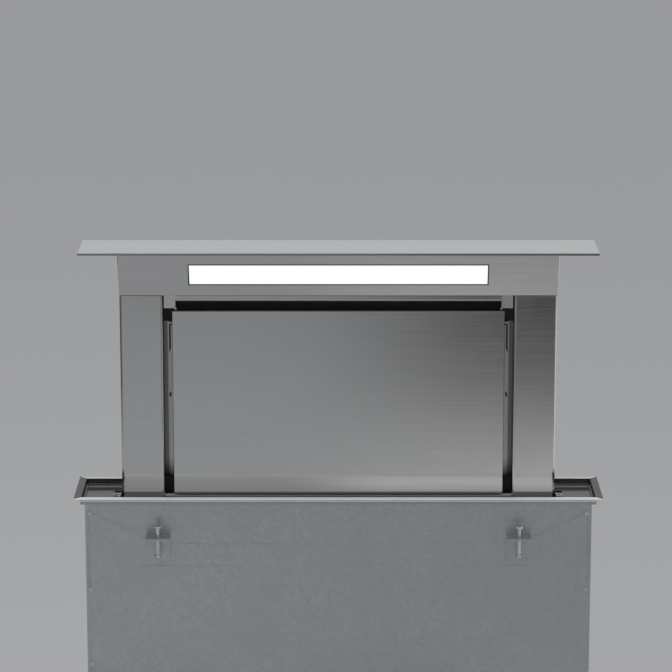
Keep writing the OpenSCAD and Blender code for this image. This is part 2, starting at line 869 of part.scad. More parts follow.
module electrics_box() color(zinc)
    difference() {
        block([ebox_x0, ebox_x1], [ebox_y1, -body_y], [ebox_z0, ebox_z1]);
        block([ebox_x0 + sheet, ebox_x1 - sheet], [ebox_y1 - over, -body_y - sheet],
            [ebox_z0 + sheet, ebox_z1 - sheet]);
        z_rod(2*gland_r + seat_fit, gland_x, gland_y, [ebox_z0 - over, ebox_z0 + sheet + over]);
    }

module electrics_cover() color(zinc)
    block([ebox_x0, ebox_x1], [ebox_y1 - sheet, ebox_y1], [ebox_z0, ebox_z1]);

module control_board() color(green) {
    board_x = [ebox_x0 + board_side[0], ebox_x1 - board_side[1]];
    board_z = [ebox_z0 + board_edge, ebox_z1 - board_edge];
    board_y = -body_y - sheet - standoff;
    face_y = board_y - board_t;
    block(board_x, [face_y, board_y], board_z);
    // Relays, transformer and capacitors
    for (i = [0 : 2]) {
        relay_x = board_x[0] + standoff + relay_pitch*i;
        relay_z = board_z[1] - board_edge - relay[2];
        block([relay_x, relay_x + relay[0]], [face_y - relay[1], face_y],
            [relay_z, relay_z + relay[2]]);
    }
    block([board_x[0] + standoff, board_x[0] + standoff + transformer[0]],
        [face_y - transformer[1], face_y],
        [board_z[0] + standoff, board_z[0] + standoff + transformer[2]]);
    for (i = [1, 2])
        y_rod(capacitor_r, board_x[1] - 3*capacitor_r*i, [face_y - capacitor_l, face_y],
            board_z[0] + 5*capacitor_r);
    // Standoffs
    for (x = [board_x[0] + 2*standoff_r, board_x[1] - 2*standoff_r],
         z = [board_z[0] + 2*standoff_r, board_z[1] - 2*standoff_r])
        y_rod(standoff_r, x, [board_y, -body_y - sheet], z);
}

module terminal_block() color(white)
    difference() {
        back_y = -body_y - sheet;
        left_x = ebox_x0 + terminal_side;
        low_z = ebox_z0 + terminal_up;
        block([left_x, left_x + terminal[0]], [back_y - terminal[1], back_y],
            [low_z, low_z + terminal[2]]);
        for (i = [0 : 4])
            y_rod(terminal_r, left_x + 2*terminal_r + terminal_pitch*i,
                [back_y - terminal[1] - over, back_y - standoff], low_z + terminal[2]/2);
    }

module cable_gland() color(black)
    difference() {
        union() {
            z_rod(2*gland_r, gland_x, gland_y, [ebox_z0 - gland_l, gland_top]);
            translate([gland_x, gland_y, ebox_z0 - gland_nut])
                cylinder(r = 3*gland_r, h = gland_nut, $fn = 6);
            translate([gland_x, gland_y, ebox_z0 + sheet])
                cylinder(r = 2.8*gland_r, h = lock_nut, $fn = 6);
        }
        z_rod(gland_r, gland_x, gland_y, [ebox_z0 - gland_l - over, gland_top + over]);
    }

// ---------- blower ----------

// The spiral's points, from the tongue clockwise to the top
function spiral(r0, steps = 36) = [
    for (i = [0 : steps])
        let (a = tongue_a - (tongue_a + 270)*i/steps, r = r0 + scroll_grow*i/steps)
            [r*cos(a), r*sin(a)]
];

// The scroll's outline with a wall added, around the blower's axis
module scroll_outline(wall, length) {
    translate([blower_x, blower_z]) {
        polygon(spiral(scroll_r0 + wall));
        translate([0, tongue_z - wall])
            square([length, scroll_r1 - tongue_z + 2*wall]);
    }
}

module blower_gasket() color(black)
    along_y([scroll_y0, -body_y]) translate([blower_x, blower_z]) difference() {
        circle(inlet_r + 12);
        circle(inlet_r + 2);
    }

module blower_scroll() color(zinc) {
    difference() {
        union() {
            along_y([scroll_y1, scroll_y0]) difference() {
                scroll_outline(blower_sheet, throat_l);
                scroll_outline(0, throat_l + over);
            }
            block([blower_x - scroll_left, throat_x], [scroll_y0 - blower_sheet, scroll_y0],
                [blower_z - scroll_r1 + 30, blower_z + scroll_r1 + 16]);
            y_rod(inlet_r + blower_sheet, blower_x, [scroll_y0 - 10, scroll_y0], blower_z);
        }
        y_rod(inlet_r, blower_x, [scroll_y0 - 10 - over, scroll_y0 + over], blower_z);
        front_holes(scroll_screws(), gasket_t + blower_sheet + over);
    }
}

module blower_plate() color(zinc)
    along_y([scroll_y1 - blower_sheet, scroll_y1]) difference() {
        scroll_outline(blower_sheet, throat_l);
        translate([blower_x, blower_z]) circle(plate_hole_r);
        for (p = motor_screws()) translate(p) circle(screw_r + screw_gap);
    }

module blower_motor() color(dark) {
    face_y = scroll_y1 - blower_sheet;
    difference() {
        union() {
            y_rod(fan_motor_r + 8, blower_x, [face_y - 3, face_y], blower_z);
            y_rod(fan_motor_r, blower_x, [face_y - fan_motor_l, face_y - 3], blower_z);
            y_rod(plate_hole_r - 1, blower_x, [face_y, impeller_y1 - 8], blower_z);
        }
        y_rod(fan_shaft_r + run_fit, blower_x, [face_y - fan_motor_l + 4, impeller_y1], blower_z);
        for (p = motor_screws())
            y_rod(screw_r + screw_gap, p[0], [face_y - 3 - over, face_y + over], p[1]);
    }
}

module impeller() color(black)
    translate([blower_x, 0, blower_z]) {
        difference() {
            union() {
                y_rod(impeller_r, 0, [impeller_y1, impeller_y1 + 2], 0);
                y_rod(fan_hub_r, 0, [impeller_y1, impeller_y1 + 30], 0);
            }
            y_rod(fan_shaft_r - over, 0, [impeller_y1 + 26, impeller_y1 + 31], 0);
        }
        y_rod(fan_shaft_r, 0, [scroll_y1 - fan_motor_l + 8, impeller_y1], 0);
        difference() {
            y_rod(impeller_r, 0, [impeller_y0 - 2, impeller_y0], 0);
            y_rod(inlet_r + 3, 0, [impeller_y0 - 2 - over, impeller_y0 + over], 0);
        }
        for (i = [0 : blade_count - 1])
            rotate([0, 360*i/blade_count, 0]) translate([impeller_r - 12, 0, 0])
                rotate([0, 35, 0])
                    block([-8, 8], [impeller_y1 + 1, impeller_y0 - 1], [-0.6, 0.6]);
    }

// ---------- outlet ----------

module outlet_transition() color(zinc) {
    throat_y = [scroll_y1, scroll_y0];
    throat_z = [blower_z + tongue_z, blower_z + scroll_r1];
    difference() {
        hull() {
            block([throat_x, throat_x + 1], [throat_y[0] - blower_sheet, throat_y[1]],
                [throat_z[0] - blower_sheet, throat_z[1] + blower_sheet]);
            x_rod(collar_r, [transition_x - 1, transition_x], duct_y, duct_z);
        }
        hull() {
            block([throat_x - over, throat_x + 1], [throat_y[0], throat_y[1] - blower_sheet],
                throat_z);
            x_rod(collar_in, [transition_x - 1, transition_x + over], duct_y, duct_z);
        }
    }
}

module outlet_collar() color(dark)
    difference() {
        x_rod(collar_r, [transition_x, collar_x1], duct_y, duct_z);
        // A ring is left that the closed flaps rest against
        x_rod(collar_in, [transition_x - over, flap_x - flap_t/2 - 2.5], duct_y, duct_z);
        x_rod(collar_in - 3, [transition_x - over, flap_x], duct_y, duct_z);
        x_rod(collar_in, [flap_x - flap_t/2 - 0.5, collar_x1 + over], duct_y, duct_z);
        z_rod(flap_pin_r + seat_fit, flap_x, duct_y,
            [duct_z - collar_r - over, duct_z + collar_r + over]);
    }

module flap_pin() color(pale_steel)
    z_rod(flap_pin_r, flap_x, duct_y, [duct_z - collar_r + 0.5, duct_z + collar_r - 0.5]);

// The flap that closes the half of the collar towards +Y. Its knuckles start at the given heights
module flap(knuckles) {
    difference() {
        union() {
            intersection() {
                x_rod(flap_r, [-flap_t/2, flap_t/2], 0, 0);
                block([-over, over], [knuckle_r + 0.6, flap_r + over], [-flap_r, flap_r]);
            }
            for (z = knuckles) {
                z_rod(knuckle_r, 0, 0, [z, z + knuckle_l]);
                block([-flap_t/2, flap_t/2], [0, knuckle_r + over], [z, z + knuckle_l]);
            }
        }
        z_rod(flap_pin_r + run_fit, 0, 0, [-flap_r - over, flap_r + over]);
    }
}

module rear_flap() color(dark)
    translate([flap_x, duct_y, duct_z]) flap([-52, 2]);

module front_flap() color(dark)
    translate([flap_x, duct_y, duct_z]) mirror([0, 1, 0]) flap([-25, 29]);

// ---------- head and lid ----------

module lid() color(pale_steel)
    wide(lid_w/2, [-lid_d/2, lid_d/2], [lid_bot, lid_top]);

// The y of the head's sloping face at a height
function slope_y(z) = mast_y0 - head_reach*(z - head_z)/head_h;

module head_outline(inset, top) {
    low = head_z + inset;
    polygon([
        [slope_y(low) + inset/cos(lean), low],
        [slope_y(top) + inset/cos(lean), top],
        [mast_y1 - inset, top],
        [mast_y1 - inset, low]
    ]);
}

// What the rounding takes off the lower front edge
module head_edge_cut() {
    r = head_edge_r;
    centre = [mast_y0 + r*(1 - sin(lean))/cos(lean), head_z + r];
    out = [cos(lean), sin(lean)];
    difference() {
        polygon([
            centre, centre - (r + over)*out, [mast_y0 - 2*over, head_z - over],
            [centre[0], head_z - over]
        ]);
        translate(centre) circle(r);
    }
}

module head_shell() color(steel)
    difference() {
        along_x([-mast_x, mast_x]) head_outline(0, lid_bot);
        along_x([-mast_x + sheet, mast_x - sheet]) head_outline(sheet, lid_bot + over);
        along_x([-mast_x - over, mast_x + over]) head_edge_cut();
        both_sides() on_slope() difference() {
            r = head_fold_r;
            block([mast_x - r, mast_x + over], [-over, r], [-2*r, face_l + 2*r]);
            z_rod(r, mast_x - r, r, [-2*r - over, face_l + 2*r + over]);
        }
        on_slope()
            wide(light_w/2 + light_gap, [-over, sheet + 2],
                [light_up - light_gap, light_up + light_h + light_gap]);
    }

module light_diffuser() color(white)
    on_slope()
        wide(light_w/2, [0.3, sheet + diffuser_t], [light_up, light_up + light_h]);

// A tray whose rim seats behind the window and holds the diffuser on a ledge
module lamp_tray() color(black)
    on_slope() difference() {
        y0 = sheet;
        y1 = sheet + diffuser_t;
        wide(light_w/2 + diffuser_lip, [y0, y1 + lamp_depth],
            [light_up - diffuser_lip, light_up + light_h + diffuser_lip]);
        wide(light_w/2 + light_fit, [y0 - over, y1],
            [light_up - light_fit, light_up + light_h + light_fit]);
        wide(light_w/2 - tray_ledge, [y1 - over, y1 + lamp_depth - tray_wall],
            [light_up + tray_ledge, light_up + light_h - tray_ledge]);
    }

module led_board() color(green)
    on_slope() {
        y1 = sheet + diffuser_t + lamp_depth - tray_wall;
        mid = light_up + light_h/2;
        wide(light_w/2 - 2*tray_ledge, [y1 - board_t, y1], [mid - light_h/4, mid + light_h/4]);
        for (i = [0 : chip_count - 1])
            translate([(i + 0.5 - chip_count/2)*(light_w - light_h/2)/chip_count, 0, 0])
                wide(chip/2, [y1 - board_t - 1, y1 - board_t], [mid - chip/2, mid + chip/2]);
    }

module led_driver() color(white)
    block([driver_x, driver_x + driver_l],
        [mast_y1 - sheet - driver_gap - driver_w, mast_y1 - sheet - driver_gap],
        [head_z + sheet, head_z + sheet + driver_h]);

// ---------- mast ----------

// A quarter of a folded sheet, in the corner towards -X and -Y
module fold(r) {
    intersection() {
        difference() {
            circle(r);
            circle(r - sheet);
        }
        translate([-r, -r]) square(r);
    }
}

module column() {
    r = column_fold_r;
    translate([0, 0, mast_bot]) linear_extrude(column_top - mast_bot) {
        translate([column_x + r, mast_y0]) square([column_w - 2*r, sheet]);
        translate([mast_x - sheet, mast_y0 + r]) square([sheet, mast_d - r]);
        translate([column_x, mast_y0 + r]) square([sheet, filter_y1 - mast_y0 - r]);
        translate([column_x + r, mast_y0 + r]) fold(r);
        translate([mast_x - r, mast_y0 + r]) mirror([1, 0]) fold(r);
    }
}

module left_column() color(steel) mirror([1, 0, 0]) column();

module right_column() color(steel) column();

module mast_back() color(zinc)
    wide(mast_x - sheet, [mast_y1 - sheet, mast_y1], [mast_bot, head_z]);

// A fixed plate below the panel, with a fold along its top
module foot_plate() color(steel) {
    wide(column_x, [mast_y0, mast_y0 + sheet], [mast_bot, foot_top]);
    wide(column_x, [mast_y0, mast_y0 + foot_fold], [foot_top - sheet, foot_top]);
}

// A rail whose lower edge is folded back, between the two catches
module cross_rail() color(steel)
    along_x([-column_x + catch_w, column_x - catch_w]) {
        fold_z = head_z - rail_h + rail_lip_r;
        translate([mast_y0, fold_z]) square([sheet, rail_h - rail_lip_r]);
        translate([mast_y0 + rail_lip_r, fold_z]) fold(rail_lip_r);
    }

module panel_catches() color(pale_steel)
    both_sides() {
        catch_y = [mast_y0 + 1.5, mast_y0 + 14];
        block([column_x - catch_w, column_x - catch_gap], catch_y, [head_z - catch_h, head_z]);
        z_rod(2.5, panel_x - 5, mast_y0 + panel_d - 3, [panel_top + 0.5, head_z - catch_h]);
    }

// A plate behind the filters
module filter_frame() color(zinc) {
    difference() {
        wide(mast_x - sheet, [filter_y1, plate_y1], [mast_bot, head_z]);
        both_sides()
            block([filter_gap/2 + filter_seat, filter_x - filter_seat],
                [filter_y1 - over, plate_y1 + over],
                [filter_z0 + filter_seat, filter_z1 - filter_seat]);
    }
}

// A stepped strip behind each side slot, with a hook slot, a notch and a slit in its edge, and
// the panel's two hinge brackets; both are welded to the filter frame
module slot_liners() color(steel) {
    step_x = panel_x + side_slot/2;
    z = [filter_z0 + liner_low, filter_z1 - 6];
    cut_y = [filter_y0 - 1 - over, filter_y1 - sheet];
    cut_x = [step_x - liner_cut_w, step_x + over];
    hook_z = filter_z1 - liner_hook_down;
    notch_z = filter_z1 - liner_notch_down;
    both_sides() difference() {
        union() {
            block([panel_x - 4, step_x], [filter_y0 - 1, filter_y0 - 1 + sheet], z);
            block([step_x - sheet, step_x], [filter_y0 - 1, filter_y1], z);
            block([step_x - sheet, column_x], [filter_y1 - sheet, filter_y1], z);
        }
        along_y(cut_y) polygon([
            [cut_x[0], hook_z], [cut_x[1], hook_z],
            [cut_x[1], hook_z - liner_hook_h], [cut_x[0], hook_z - liner_hook_h + 2*liner_cut_w]
        ]);
        block(cut_x, cut_y, [notch_z - 2*liner_cut_w, notch_z]);
        block([panel_x + 1, step_x - 2*sheet], [cut_y[0], filter_y0 - 1 + sheet + over],
            [z[1] - liner_slit_down - liner_slit_h, z[1] - liner_slit_down]);
    }
    both_sides() difference() {
        union() {
            x_rod(bracket_r, bracket_x, hinge_y, hinge_z);
            block(bracket_x, [hinge_y, filter_y1], [hinge_z - bracket_r, hinge_z + bracket_r]);
        }
        x_rod(pin_r + run_fit, [bracket_x[0] - over, bracket_x[1] + over], hinge_y, hinge_z);
    }
}

// A grease filter: a frame around a pack of mesh, with a finger latch
module grease_filter() {
    x = [filter_gap/2, filter_x];
    y = [filter_y0, filter_y1];
    z = [filter_z0, filter_z1];
    difference() {
        block(x, y, z);
        for (cut = [[y[0] - over, y[0] + 1], [y[1] - 1, y[1] + over]])
            block([x[0] + filter_bar, x[1] - filter_bar], cut, [z[0] + filter_bar, z[1] - filter_bar]);
    }
    mid = (x[0] + x[1])/2;
    block([mid - 20, mid + 20], [y[0] - 3, y[0]], [z[1] - filter_bar + 2, z[1] - 2]);
}

module grease_filters() color(zinc) both_sides() grease_filter();

// A folded panel with a rounded top edge, open at the back
module front_panel() color(steel)
    difference() {
        along_x([-panel_x, panel_x]) {
            translate([mast_y0, panel_bot]) square([panel_d, panel_top - panel_bot - panel_r]);
            translate([mast_y0 + panel_r, panel_bot])
                square([panel_d - panel_r, panel_top - panel_bot]);
            translate([mast_y0 + panel_r, panel_top - panel_r]) circle(panel_r);
        }
        wide(panel_x - sheet, [mast_y0 + sheet, panel_y1 + over],
            [panel_bot + sheet, panel_top - sheet]);
        x_rod(pin_r + seat_fit, [-panel_x - over, panel_x + over], hinge_y, hinge_z);
    }

module panel_pins() color(pale_steel)
    both_sides() x_rod(pin_r, [bracket_x[0] - 1, panel_x], hinge_y, hinge_z);

// ---------- carriage ----------

module carriage() color(dark) {
    difference() {
        union() {
            both_sides() block([mast_x, mast_x + block_w], [carriage_y0, carriage_y1],
                [mast_bot, mast_bot + block_h]);
            wide(mast_x + block_w, [carriage_y0, carriage_y0 + 12], [mast_bot - crossbar_h, mast_bot]);
            block([-coil_x - 6, -coil_x + 6], [coil_y - coil_r, carriage_y0 + 6],
                [mast_bot - crossbar_h, mast_bot - crossbar_h + 4]);
        }
        both_sides()
            z_rod(bush_r + seat_fit, rod_x, rod_y,
                [mast_bot - crossbar_h - over, mast_bot + block_h + over]);
    }
}

module guide_bushes() color(white)
    both_sides()
        for (z = [mast_bot, mast_bot + block_h - bush_l])
            difference() {
                z_rod(bush_r, rod_x, rod_y, [z, z + bush_l]);
                z_rod(rod_r + run_fit, rod_x, rod_y, [z - over, z + bush_l + over]);
            }

module belt_clamps() color(zinc)
    both_sides() difference() {
        strand_y = shaft_y + pulley_r;
        block([belt_x - belt_w/2 - 4, belt_x + belt_w/2 + 4],
            [strand_y - belt_t/2 - belt_gap - 3, carriage_y0], belt_clamp_z);
        block([belt_x - belt_w/2 - belt_gap, belt_x + belt_w/2 + belt_gap],
            [strand_y - belt_t/2 - belt_gap, strand_y + belt_t/2 + belt_gap],
            [belt_clamp_z[0] - over, belt_clamp_z[1] + over]);
    }

module lamp_lead() color(black)
    z_rod(coil_r, -coil_x, coil_y, [coil_bot, mast_bot - crossbar_h]);

deck_frame();
deck_seal();
mast_wiper();
deck_clips();
body_front();
body_rear();
body_ends();
body_floor();
guide_rods();
rod_holders();
lift_belts();
idler_pins();
idlers();
shaft_bearings();
drive_shaft();
drive_pulleys();
lift_motor();
limit_switches();
worktop_clamps();
clamp_screws();
casing_screws();
electrics_box();
electrics_cover();
control_board();
terminal_block();
cable_gland();
blower_gasket();
blower_scroll();
blower_plate();
blower_motor();
impeller();
outlet_transition();
outlet_collar();
flap_pin();
rear_flap();
front_flap();
left_leg();
right_leg();
leg_screws();
lid();
head_shell();
light_diffuser();
led_board();
lamp_tray();
led_driver();
left_column();
right_column();
mast_back();
foot_plate();
cross_rail();
panel_catches();
filter_frame();
slot_liners();
grease_filters();
front_panel();
panel_pins();
carriage();
guide_bushes();
belt_clamps();
lamp_lead();
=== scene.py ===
import bpy, bmesh, json, math
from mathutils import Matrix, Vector


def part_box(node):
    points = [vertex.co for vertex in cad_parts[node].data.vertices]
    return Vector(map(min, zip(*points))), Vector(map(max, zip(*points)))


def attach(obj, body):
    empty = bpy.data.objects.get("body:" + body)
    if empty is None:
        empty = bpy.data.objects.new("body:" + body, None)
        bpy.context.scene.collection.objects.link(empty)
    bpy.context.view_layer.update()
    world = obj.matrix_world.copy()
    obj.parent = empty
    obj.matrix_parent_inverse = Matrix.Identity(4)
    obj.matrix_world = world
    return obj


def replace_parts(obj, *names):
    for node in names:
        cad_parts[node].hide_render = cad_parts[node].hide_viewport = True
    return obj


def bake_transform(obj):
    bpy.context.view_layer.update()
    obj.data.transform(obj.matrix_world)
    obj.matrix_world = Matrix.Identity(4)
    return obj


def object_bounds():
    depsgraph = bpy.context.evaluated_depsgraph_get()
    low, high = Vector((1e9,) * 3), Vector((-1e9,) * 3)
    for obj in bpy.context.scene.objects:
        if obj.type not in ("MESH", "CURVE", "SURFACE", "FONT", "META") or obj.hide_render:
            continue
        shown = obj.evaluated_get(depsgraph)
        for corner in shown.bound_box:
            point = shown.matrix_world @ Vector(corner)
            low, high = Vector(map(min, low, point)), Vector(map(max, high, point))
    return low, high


# Lengths are in metres, with the part's origin on the worktop's top plane, +Y to the back and +Z up.

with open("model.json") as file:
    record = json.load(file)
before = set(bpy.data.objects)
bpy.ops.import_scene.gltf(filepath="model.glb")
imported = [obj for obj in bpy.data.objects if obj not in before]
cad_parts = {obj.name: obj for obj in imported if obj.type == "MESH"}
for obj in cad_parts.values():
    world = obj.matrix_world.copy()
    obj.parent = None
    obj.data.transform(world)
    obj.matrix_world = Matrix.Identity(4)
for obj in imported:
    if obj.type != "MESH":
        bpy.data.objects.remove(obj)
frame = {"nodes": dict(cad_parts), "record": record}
cad_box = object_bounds()
nodes = frame["nodes"]
scene = bpy.context.scene
scene.view_settings.view_transform = "Standard"

FLOOR_Z = cad_box[0].z
WELD = 0.00001  # vertices nearer than this are one

# ---------- camera, set out in pixels of the photograph ----------

PICTURE_PX = 672
FOCAL_PX = 3000
SENSOR_MM = 36
CAMERA_AT = (-0.0040, -4.862, 1.376)
CAMERA_DOWN_DEG = 12.88

cam_data = bpy.data.cameras.new("camera")
cam_data.sensor_width = SENSOR_MM
cam_data.lens = SENSOR_MM * FOCAL_PX / PICTURE_PX
cam_data.clip_end = 200
cam = bpy.data.objects.new("camera", cam_data)
scene.collection.objects.link(cam)
cam.location = CAMERA_AT
cam.rotation_euler = (math.radians(90 - CAMERA_DOWN_DEG), 0, 0)
scene.camera = cam


# ---------- nodes that the materials are built from ----------
# t is a material's node tree and b its shader. Values passed between the functions are node sockets.

BRUSH_SCALE = {"x": (6, 900, 900), "y": (900, 6, 900), "z": (900, 900, 6)}
BRUSH_DEPTH = 0.00004
# near-black colour of the painted shade in the slot liners
SLOT_SHADE = (0.01, 0.01, 0.01)


def new_material(name, color, metallic=0.0, roughness=0.5):
    m = bpy.data.materials.new(name)
    m.use_nodes = True
    t = m.node_tree
    b = t.nodes["Principled BSDF"]
    b.inputs["Base Color"].default_value = (*color, 1)
    b.inputs["Metallic"].default_value = metallic
    b.inputs["Roughness"].default_value = roughness
    return m, t, b


def coords(t, scale=(1, 1, 1)):
    tc = t.nodes.new("ShaderNodeTexCoord")
    mp = t.nodes.new("ShaderNodeMapping")
    mp.inputs["Scale"].default_value = scale
    t.links.new(tc.outputs["Object"], mp.inputs["Vector"])
    return mp.outputs["Vector"]


def axes(t, vector):
    """The X, Y and Z of a vector."""
    sp = t.nodes.new("ShaderNodeSeparateXYZ")
    t.links.new(vector, sp.inputs[0])
    return sp.outputs


def calc(t, operation, *values):
    """A math node on sockets or plain numbers."""
    n = t.nodes.new("ShaderNodeMath")
    n.operation = operation
    for socket, value in zip(n.inputs, values):
        if isinstance(value, float):
            socket.default_value = value
        else:
            t.links.new(value, socket)
    return n.outputs[0]


def choose(t, factor, a, b, kind="RGBA"):
    """a where the factor is 0 and b where it is 1. Both are sockets or plain colours."""
    n = t.nodes.new("ShaderNodeMix")
    n.data_type = kind
    t.links.new(factor, n.inputs["Factor"])
    for label, value in (("A", a), ("B", b)):
        if isinstance(value, tuple):
            n.inputs[label].default_value = (*value, 1)
        else:
            t.links.new(value, n.inputs[label])
    return n.outputs["Result"]


def noise(t, vector, scale=1.0, detail=2.0, rough=0.5):
    n = t.nodes.new("ShaderNodeTexNoise")
    n.inputs["Scale"].default_value = scale
    n.inputs["Detail"].default_value = detail
    n.inputs["Roughness"].default_value = rough
    t.links.new(vector, n.inputs["Vector"])
    return n.outputs["Fac"]


def brush_lines(t, along="x"):
    """Fine lines along one axis."""
    return noise(t, coords(t, BRUSH_SCALE[along]), 1.0, 3.0, 0.6)


def ramp(t, value, low, high, start=0.3, end=0.7):
    r = t.nodes.new("ShaderNodeMapRange")
    r.inputs["From Min"].default_value = start
    r.inputs["From Max"].default_value = end
    r.inputs["To Min"].default_value = low
    r.inputs["To Max"].default_value = high
    t.links.new(value, r.inputs["Value"])
    return r.outputs["Result"]


def step_at(t, value, place, soft, low=0.0, high=1.0):
    """low before a place along the value and high after it, over a soft width on either side."""
    return ramp(t, value, low, high, place - soft, place + soft)


def two_tones(t, value, a, b, start=0.3, end=0.7):
    r = t.nodes.new("ShaderNodeValToRGB")
    r.color_ramp.elements[0].position = start
    r.color_ramp.elements[0].color = (*a, 1)
    r.color_ramp.elements[1].position = end
    r.color_ramp.elements[1].color = (*b, 1)
    t.links.new(value, r.inputs["Fac"])
    return r.outputs["Color"]


def toned(color, k):
    return tuple(min(1, v * k) for v in color)


def grained(t, value, color, spread):
    """A colour that gets darker and lighter with the value, by a share of itself."""
    return two_tones(t, value, toned(color, 1 - spread), toned(color, 1 + spread))


def bump(t, shader, value, strength, distance):
    n = t.nodes.new("ShaderNodeBump")
    n.inputs["Strength"].default_value = strength
    n.inputs["Distance"].default_value = distance
    t.links.new(value, n.inputs["Height"])
    t.links.new(n.outputs["Normal"], shader.inputs["Normal"])


def level_faces(t, low=0.3, high=0.7):
    """1 on faces that look up or down, 0 on upright ones."""
    tc = t.nodes.new("ShaderNodeTexCoord")
    return ramp(t, calc(t, "ABSOLUTE", axes(t, tc.outputs["Normal"])[2]), 0.0, 1.0, low, high)


# ---------- materials ----------

def brushed(name, color, roughness, along="x", grain=0.06, lift=0.12, edge=1.0):
    """Sheet steel with fine lines along one axis and cloudy gloss. Faces that look up or down, its folds and cut
    edges, take the colour toned by edge, which is painted shade where edge is below 1.
    """
    m, t, b = new_material(name, color, 1.0, roughness)
    lines = brush_lines(t, along)
    cloud = noise(t, coords(t), 7.0, 3.0, 0.55)
    # painted shade where edge is below 1: level faces are darkened so that they don't catch the light
    tone = choose(t, level_faces(t, 0.03, 0.3), grained(t, lines, color, grain),
                  grained(t, lines, toned(color, edge), grain))
    t.links.new(tone, b.inputs["Base Color"])
    gloss = calc(t, "ADD", ramp(t, cloud, roughness - 0.02, roughness + 0.03), ramp(t, lines, -0.03, 0.04))
    t.links.new(gloss, b.inputs["Roughness"])
    bump(t, b, lines, lift, BRUSH_DEPTH)
    return m


def satin_lid(name, color, edge):
    """Satin plate, brushed along X, with a darker cut edge."""
    m, t, b = new_material(name, color, 1.0, 0.45)
    lines = brush_lines(t)
    flat = level_faces(t)
    t.links.new(choose(t, flat, grained(t, lines, edge, 0.08), grained(t, lines, color, 0.03)),
                b.inputs["Base Color"])
    t.links.new(ramp(t, flat, 0.22, 0.5, 0, 1), b.inputs["Roughness"])
    bump(t, b, lines, 0.08, BRUSH_DEPTH)
    return m


def galvanised(name, color, roughness=0.4):
    """Zinc-coated sheet with its fine crystal spangle."""
    m, t, b = new_material(name, color, 1.0, roughness)
    v = coords(t)
    cells = t.nodes.new("ShaderNodeTexVoronoi")
    cells.inputs["Scale"].default_value = 190
    t.links.new(v, cells.inputs["Vector"])
    draw = t.nodes.new("ShaderNodeSeparateColor")
    t.links.new(cells.outputs["Color"], draw.inputs["Color"])
    spangle = calc(t, "MULTIPLY", ramp(t, draw.outputs[0], 0.0, 1.0, 0, 1), ramp(t, noise(t, v, 9, 3), 0.4, 1.0))
    t.links.new(two_tones(t, spangle, toned(color, 0.93), toned(color, 1.05), 0, 1), b.inputs["Base Color"])
    t.links.new(ramp(t, draw.outputs[1], roughness - 0.05, roughness + 0.05, 0, 1), b.inputs["Roughness"])
    bump(t, b, noise(t, v, 300, 2), 0.08, 0.0001)
    return m


def framed(name, color, side, pan, wall_shade, rough_x, rough_y):
    """The deck's frame. Its strips along X are brushed along X and those along Y along Y; the X strips are painted
    light and less metallic, the Y strips dark, a painted sheen for how each catches the light.
    """
    m, t, b = new_material(name, color, 1.0, rough_x)
    x, y, z = axes(t, coords(t))
    off_x, off_y = calc(t, "ABSOLUTE", x), calc(t, "ABSOLUTE", y)
    # the corners are mitred, and the recess counts as a side strip
    beyond_mitre = step_at(t, calc(t, "SUBTRACT", calc(t, "SUBTRACT", off_x, 0.370), off_y), 0.0, 0.0001)
    in_recess = step_at(t, off_y, 0.0571, 0.0001, 1.0, 0.0)
    across = calc(t, "MAXIMUM", in_recess, beyond_mitre)
    grain = choose(t, across, brush_lines(t, "x"), brush_lines(t, "y"), "FLOAT")
    # painted sheen: strips along X take the light colour, strips along Y and the recess the dark side colour
    tone = choose(t, across, grained(t, grain, color, 0.06), grained(t, grain, side, 0.06))
    # the pan's floor is lighter than the seat around it
    tone = choose(t, step_at(t, z, -0.0055, 0.0005, 1.0, 0.0), tone, grained(t, grain, pan, 0.06))
    # the rear strip takes three tenths of the dark side tone, so it has less painted sheen than the front one
    tone = choose(t, step_at(t, y, 0.05875, 0.00025, 0.0, 0.3), tone, side)
    # painted shade: the upright faces above the pan, inside the recess, take the near-black wall shade colour
    upright = calc(t, "MULTIPLY", ramp(t, level_faces(t, 0.35, 0.8), 1.0, 0.0, 0.0, 1.0),
                   step_at(t, z, -0.0055, 0.0005))
    shaded_walls = calc(t, "MULTIPLY", upright, step_at(t, off_y, 0.05845, 0.00015, 1.0, 0.0))
    t.links.new(choose(t, shaded_walls, tone, wall_shade), b.inputs["Base Color"])
    t.links.new(ramp(t, across, 0.45, 1.0, 0, 1), b.inputs["Metallic"])
    t.links.new(ramp(t, across, rough_x, rough_y, 0, 1), b.inputs["Roughness"])
    bump(t, b, grain, 0.1, BRUSH_DEPTH)
    return m


def stepped_strip(name, front, back_shade, step_x, panel_x, foot_z, shade_top_z):
    """Sheet steel with a set-back step. Painted shade: the step takes a darker colour, and the strip goes near-black
    towards its foot and beside the panel's edge.
    """
    m, t, b = new_material(name, front, 1.0, 0.25)
    lines = brush_lines(t, "z")
    x, y, z = axes(t, coords(t))
    off_x = calc(t, "ABSOLUTE", x)
    # painted shade: beyond step_x the set-back step takes the darker back colour
    tone = choose(t, step_at(t, off_x, step_x, 0.0004), grained(t, lines, front, 0.07), grained(t, lines, back_shade, 0.07))
    # painted shade: near-black at the foot, fading out higher up, and mostly near-black beside the panel's edge
    unshaded = calc(t, "MULTIPLY", ramp(t, z, 0.0, 1.0, foot_z, shade_top_z), step_at(t, off_x, panel_x, 0.0003, 0.25))
    t.links.new(choose(t, unshaded, SLOT_SHADE, tone), b.inputs["Base Color"])
    t.links.new(ramp(t, lines, 0.22, 0.30), b.inputs["Roughness"])
    bump(t, b, lines, 0.1, BRUSH_DEPTH)
    return m


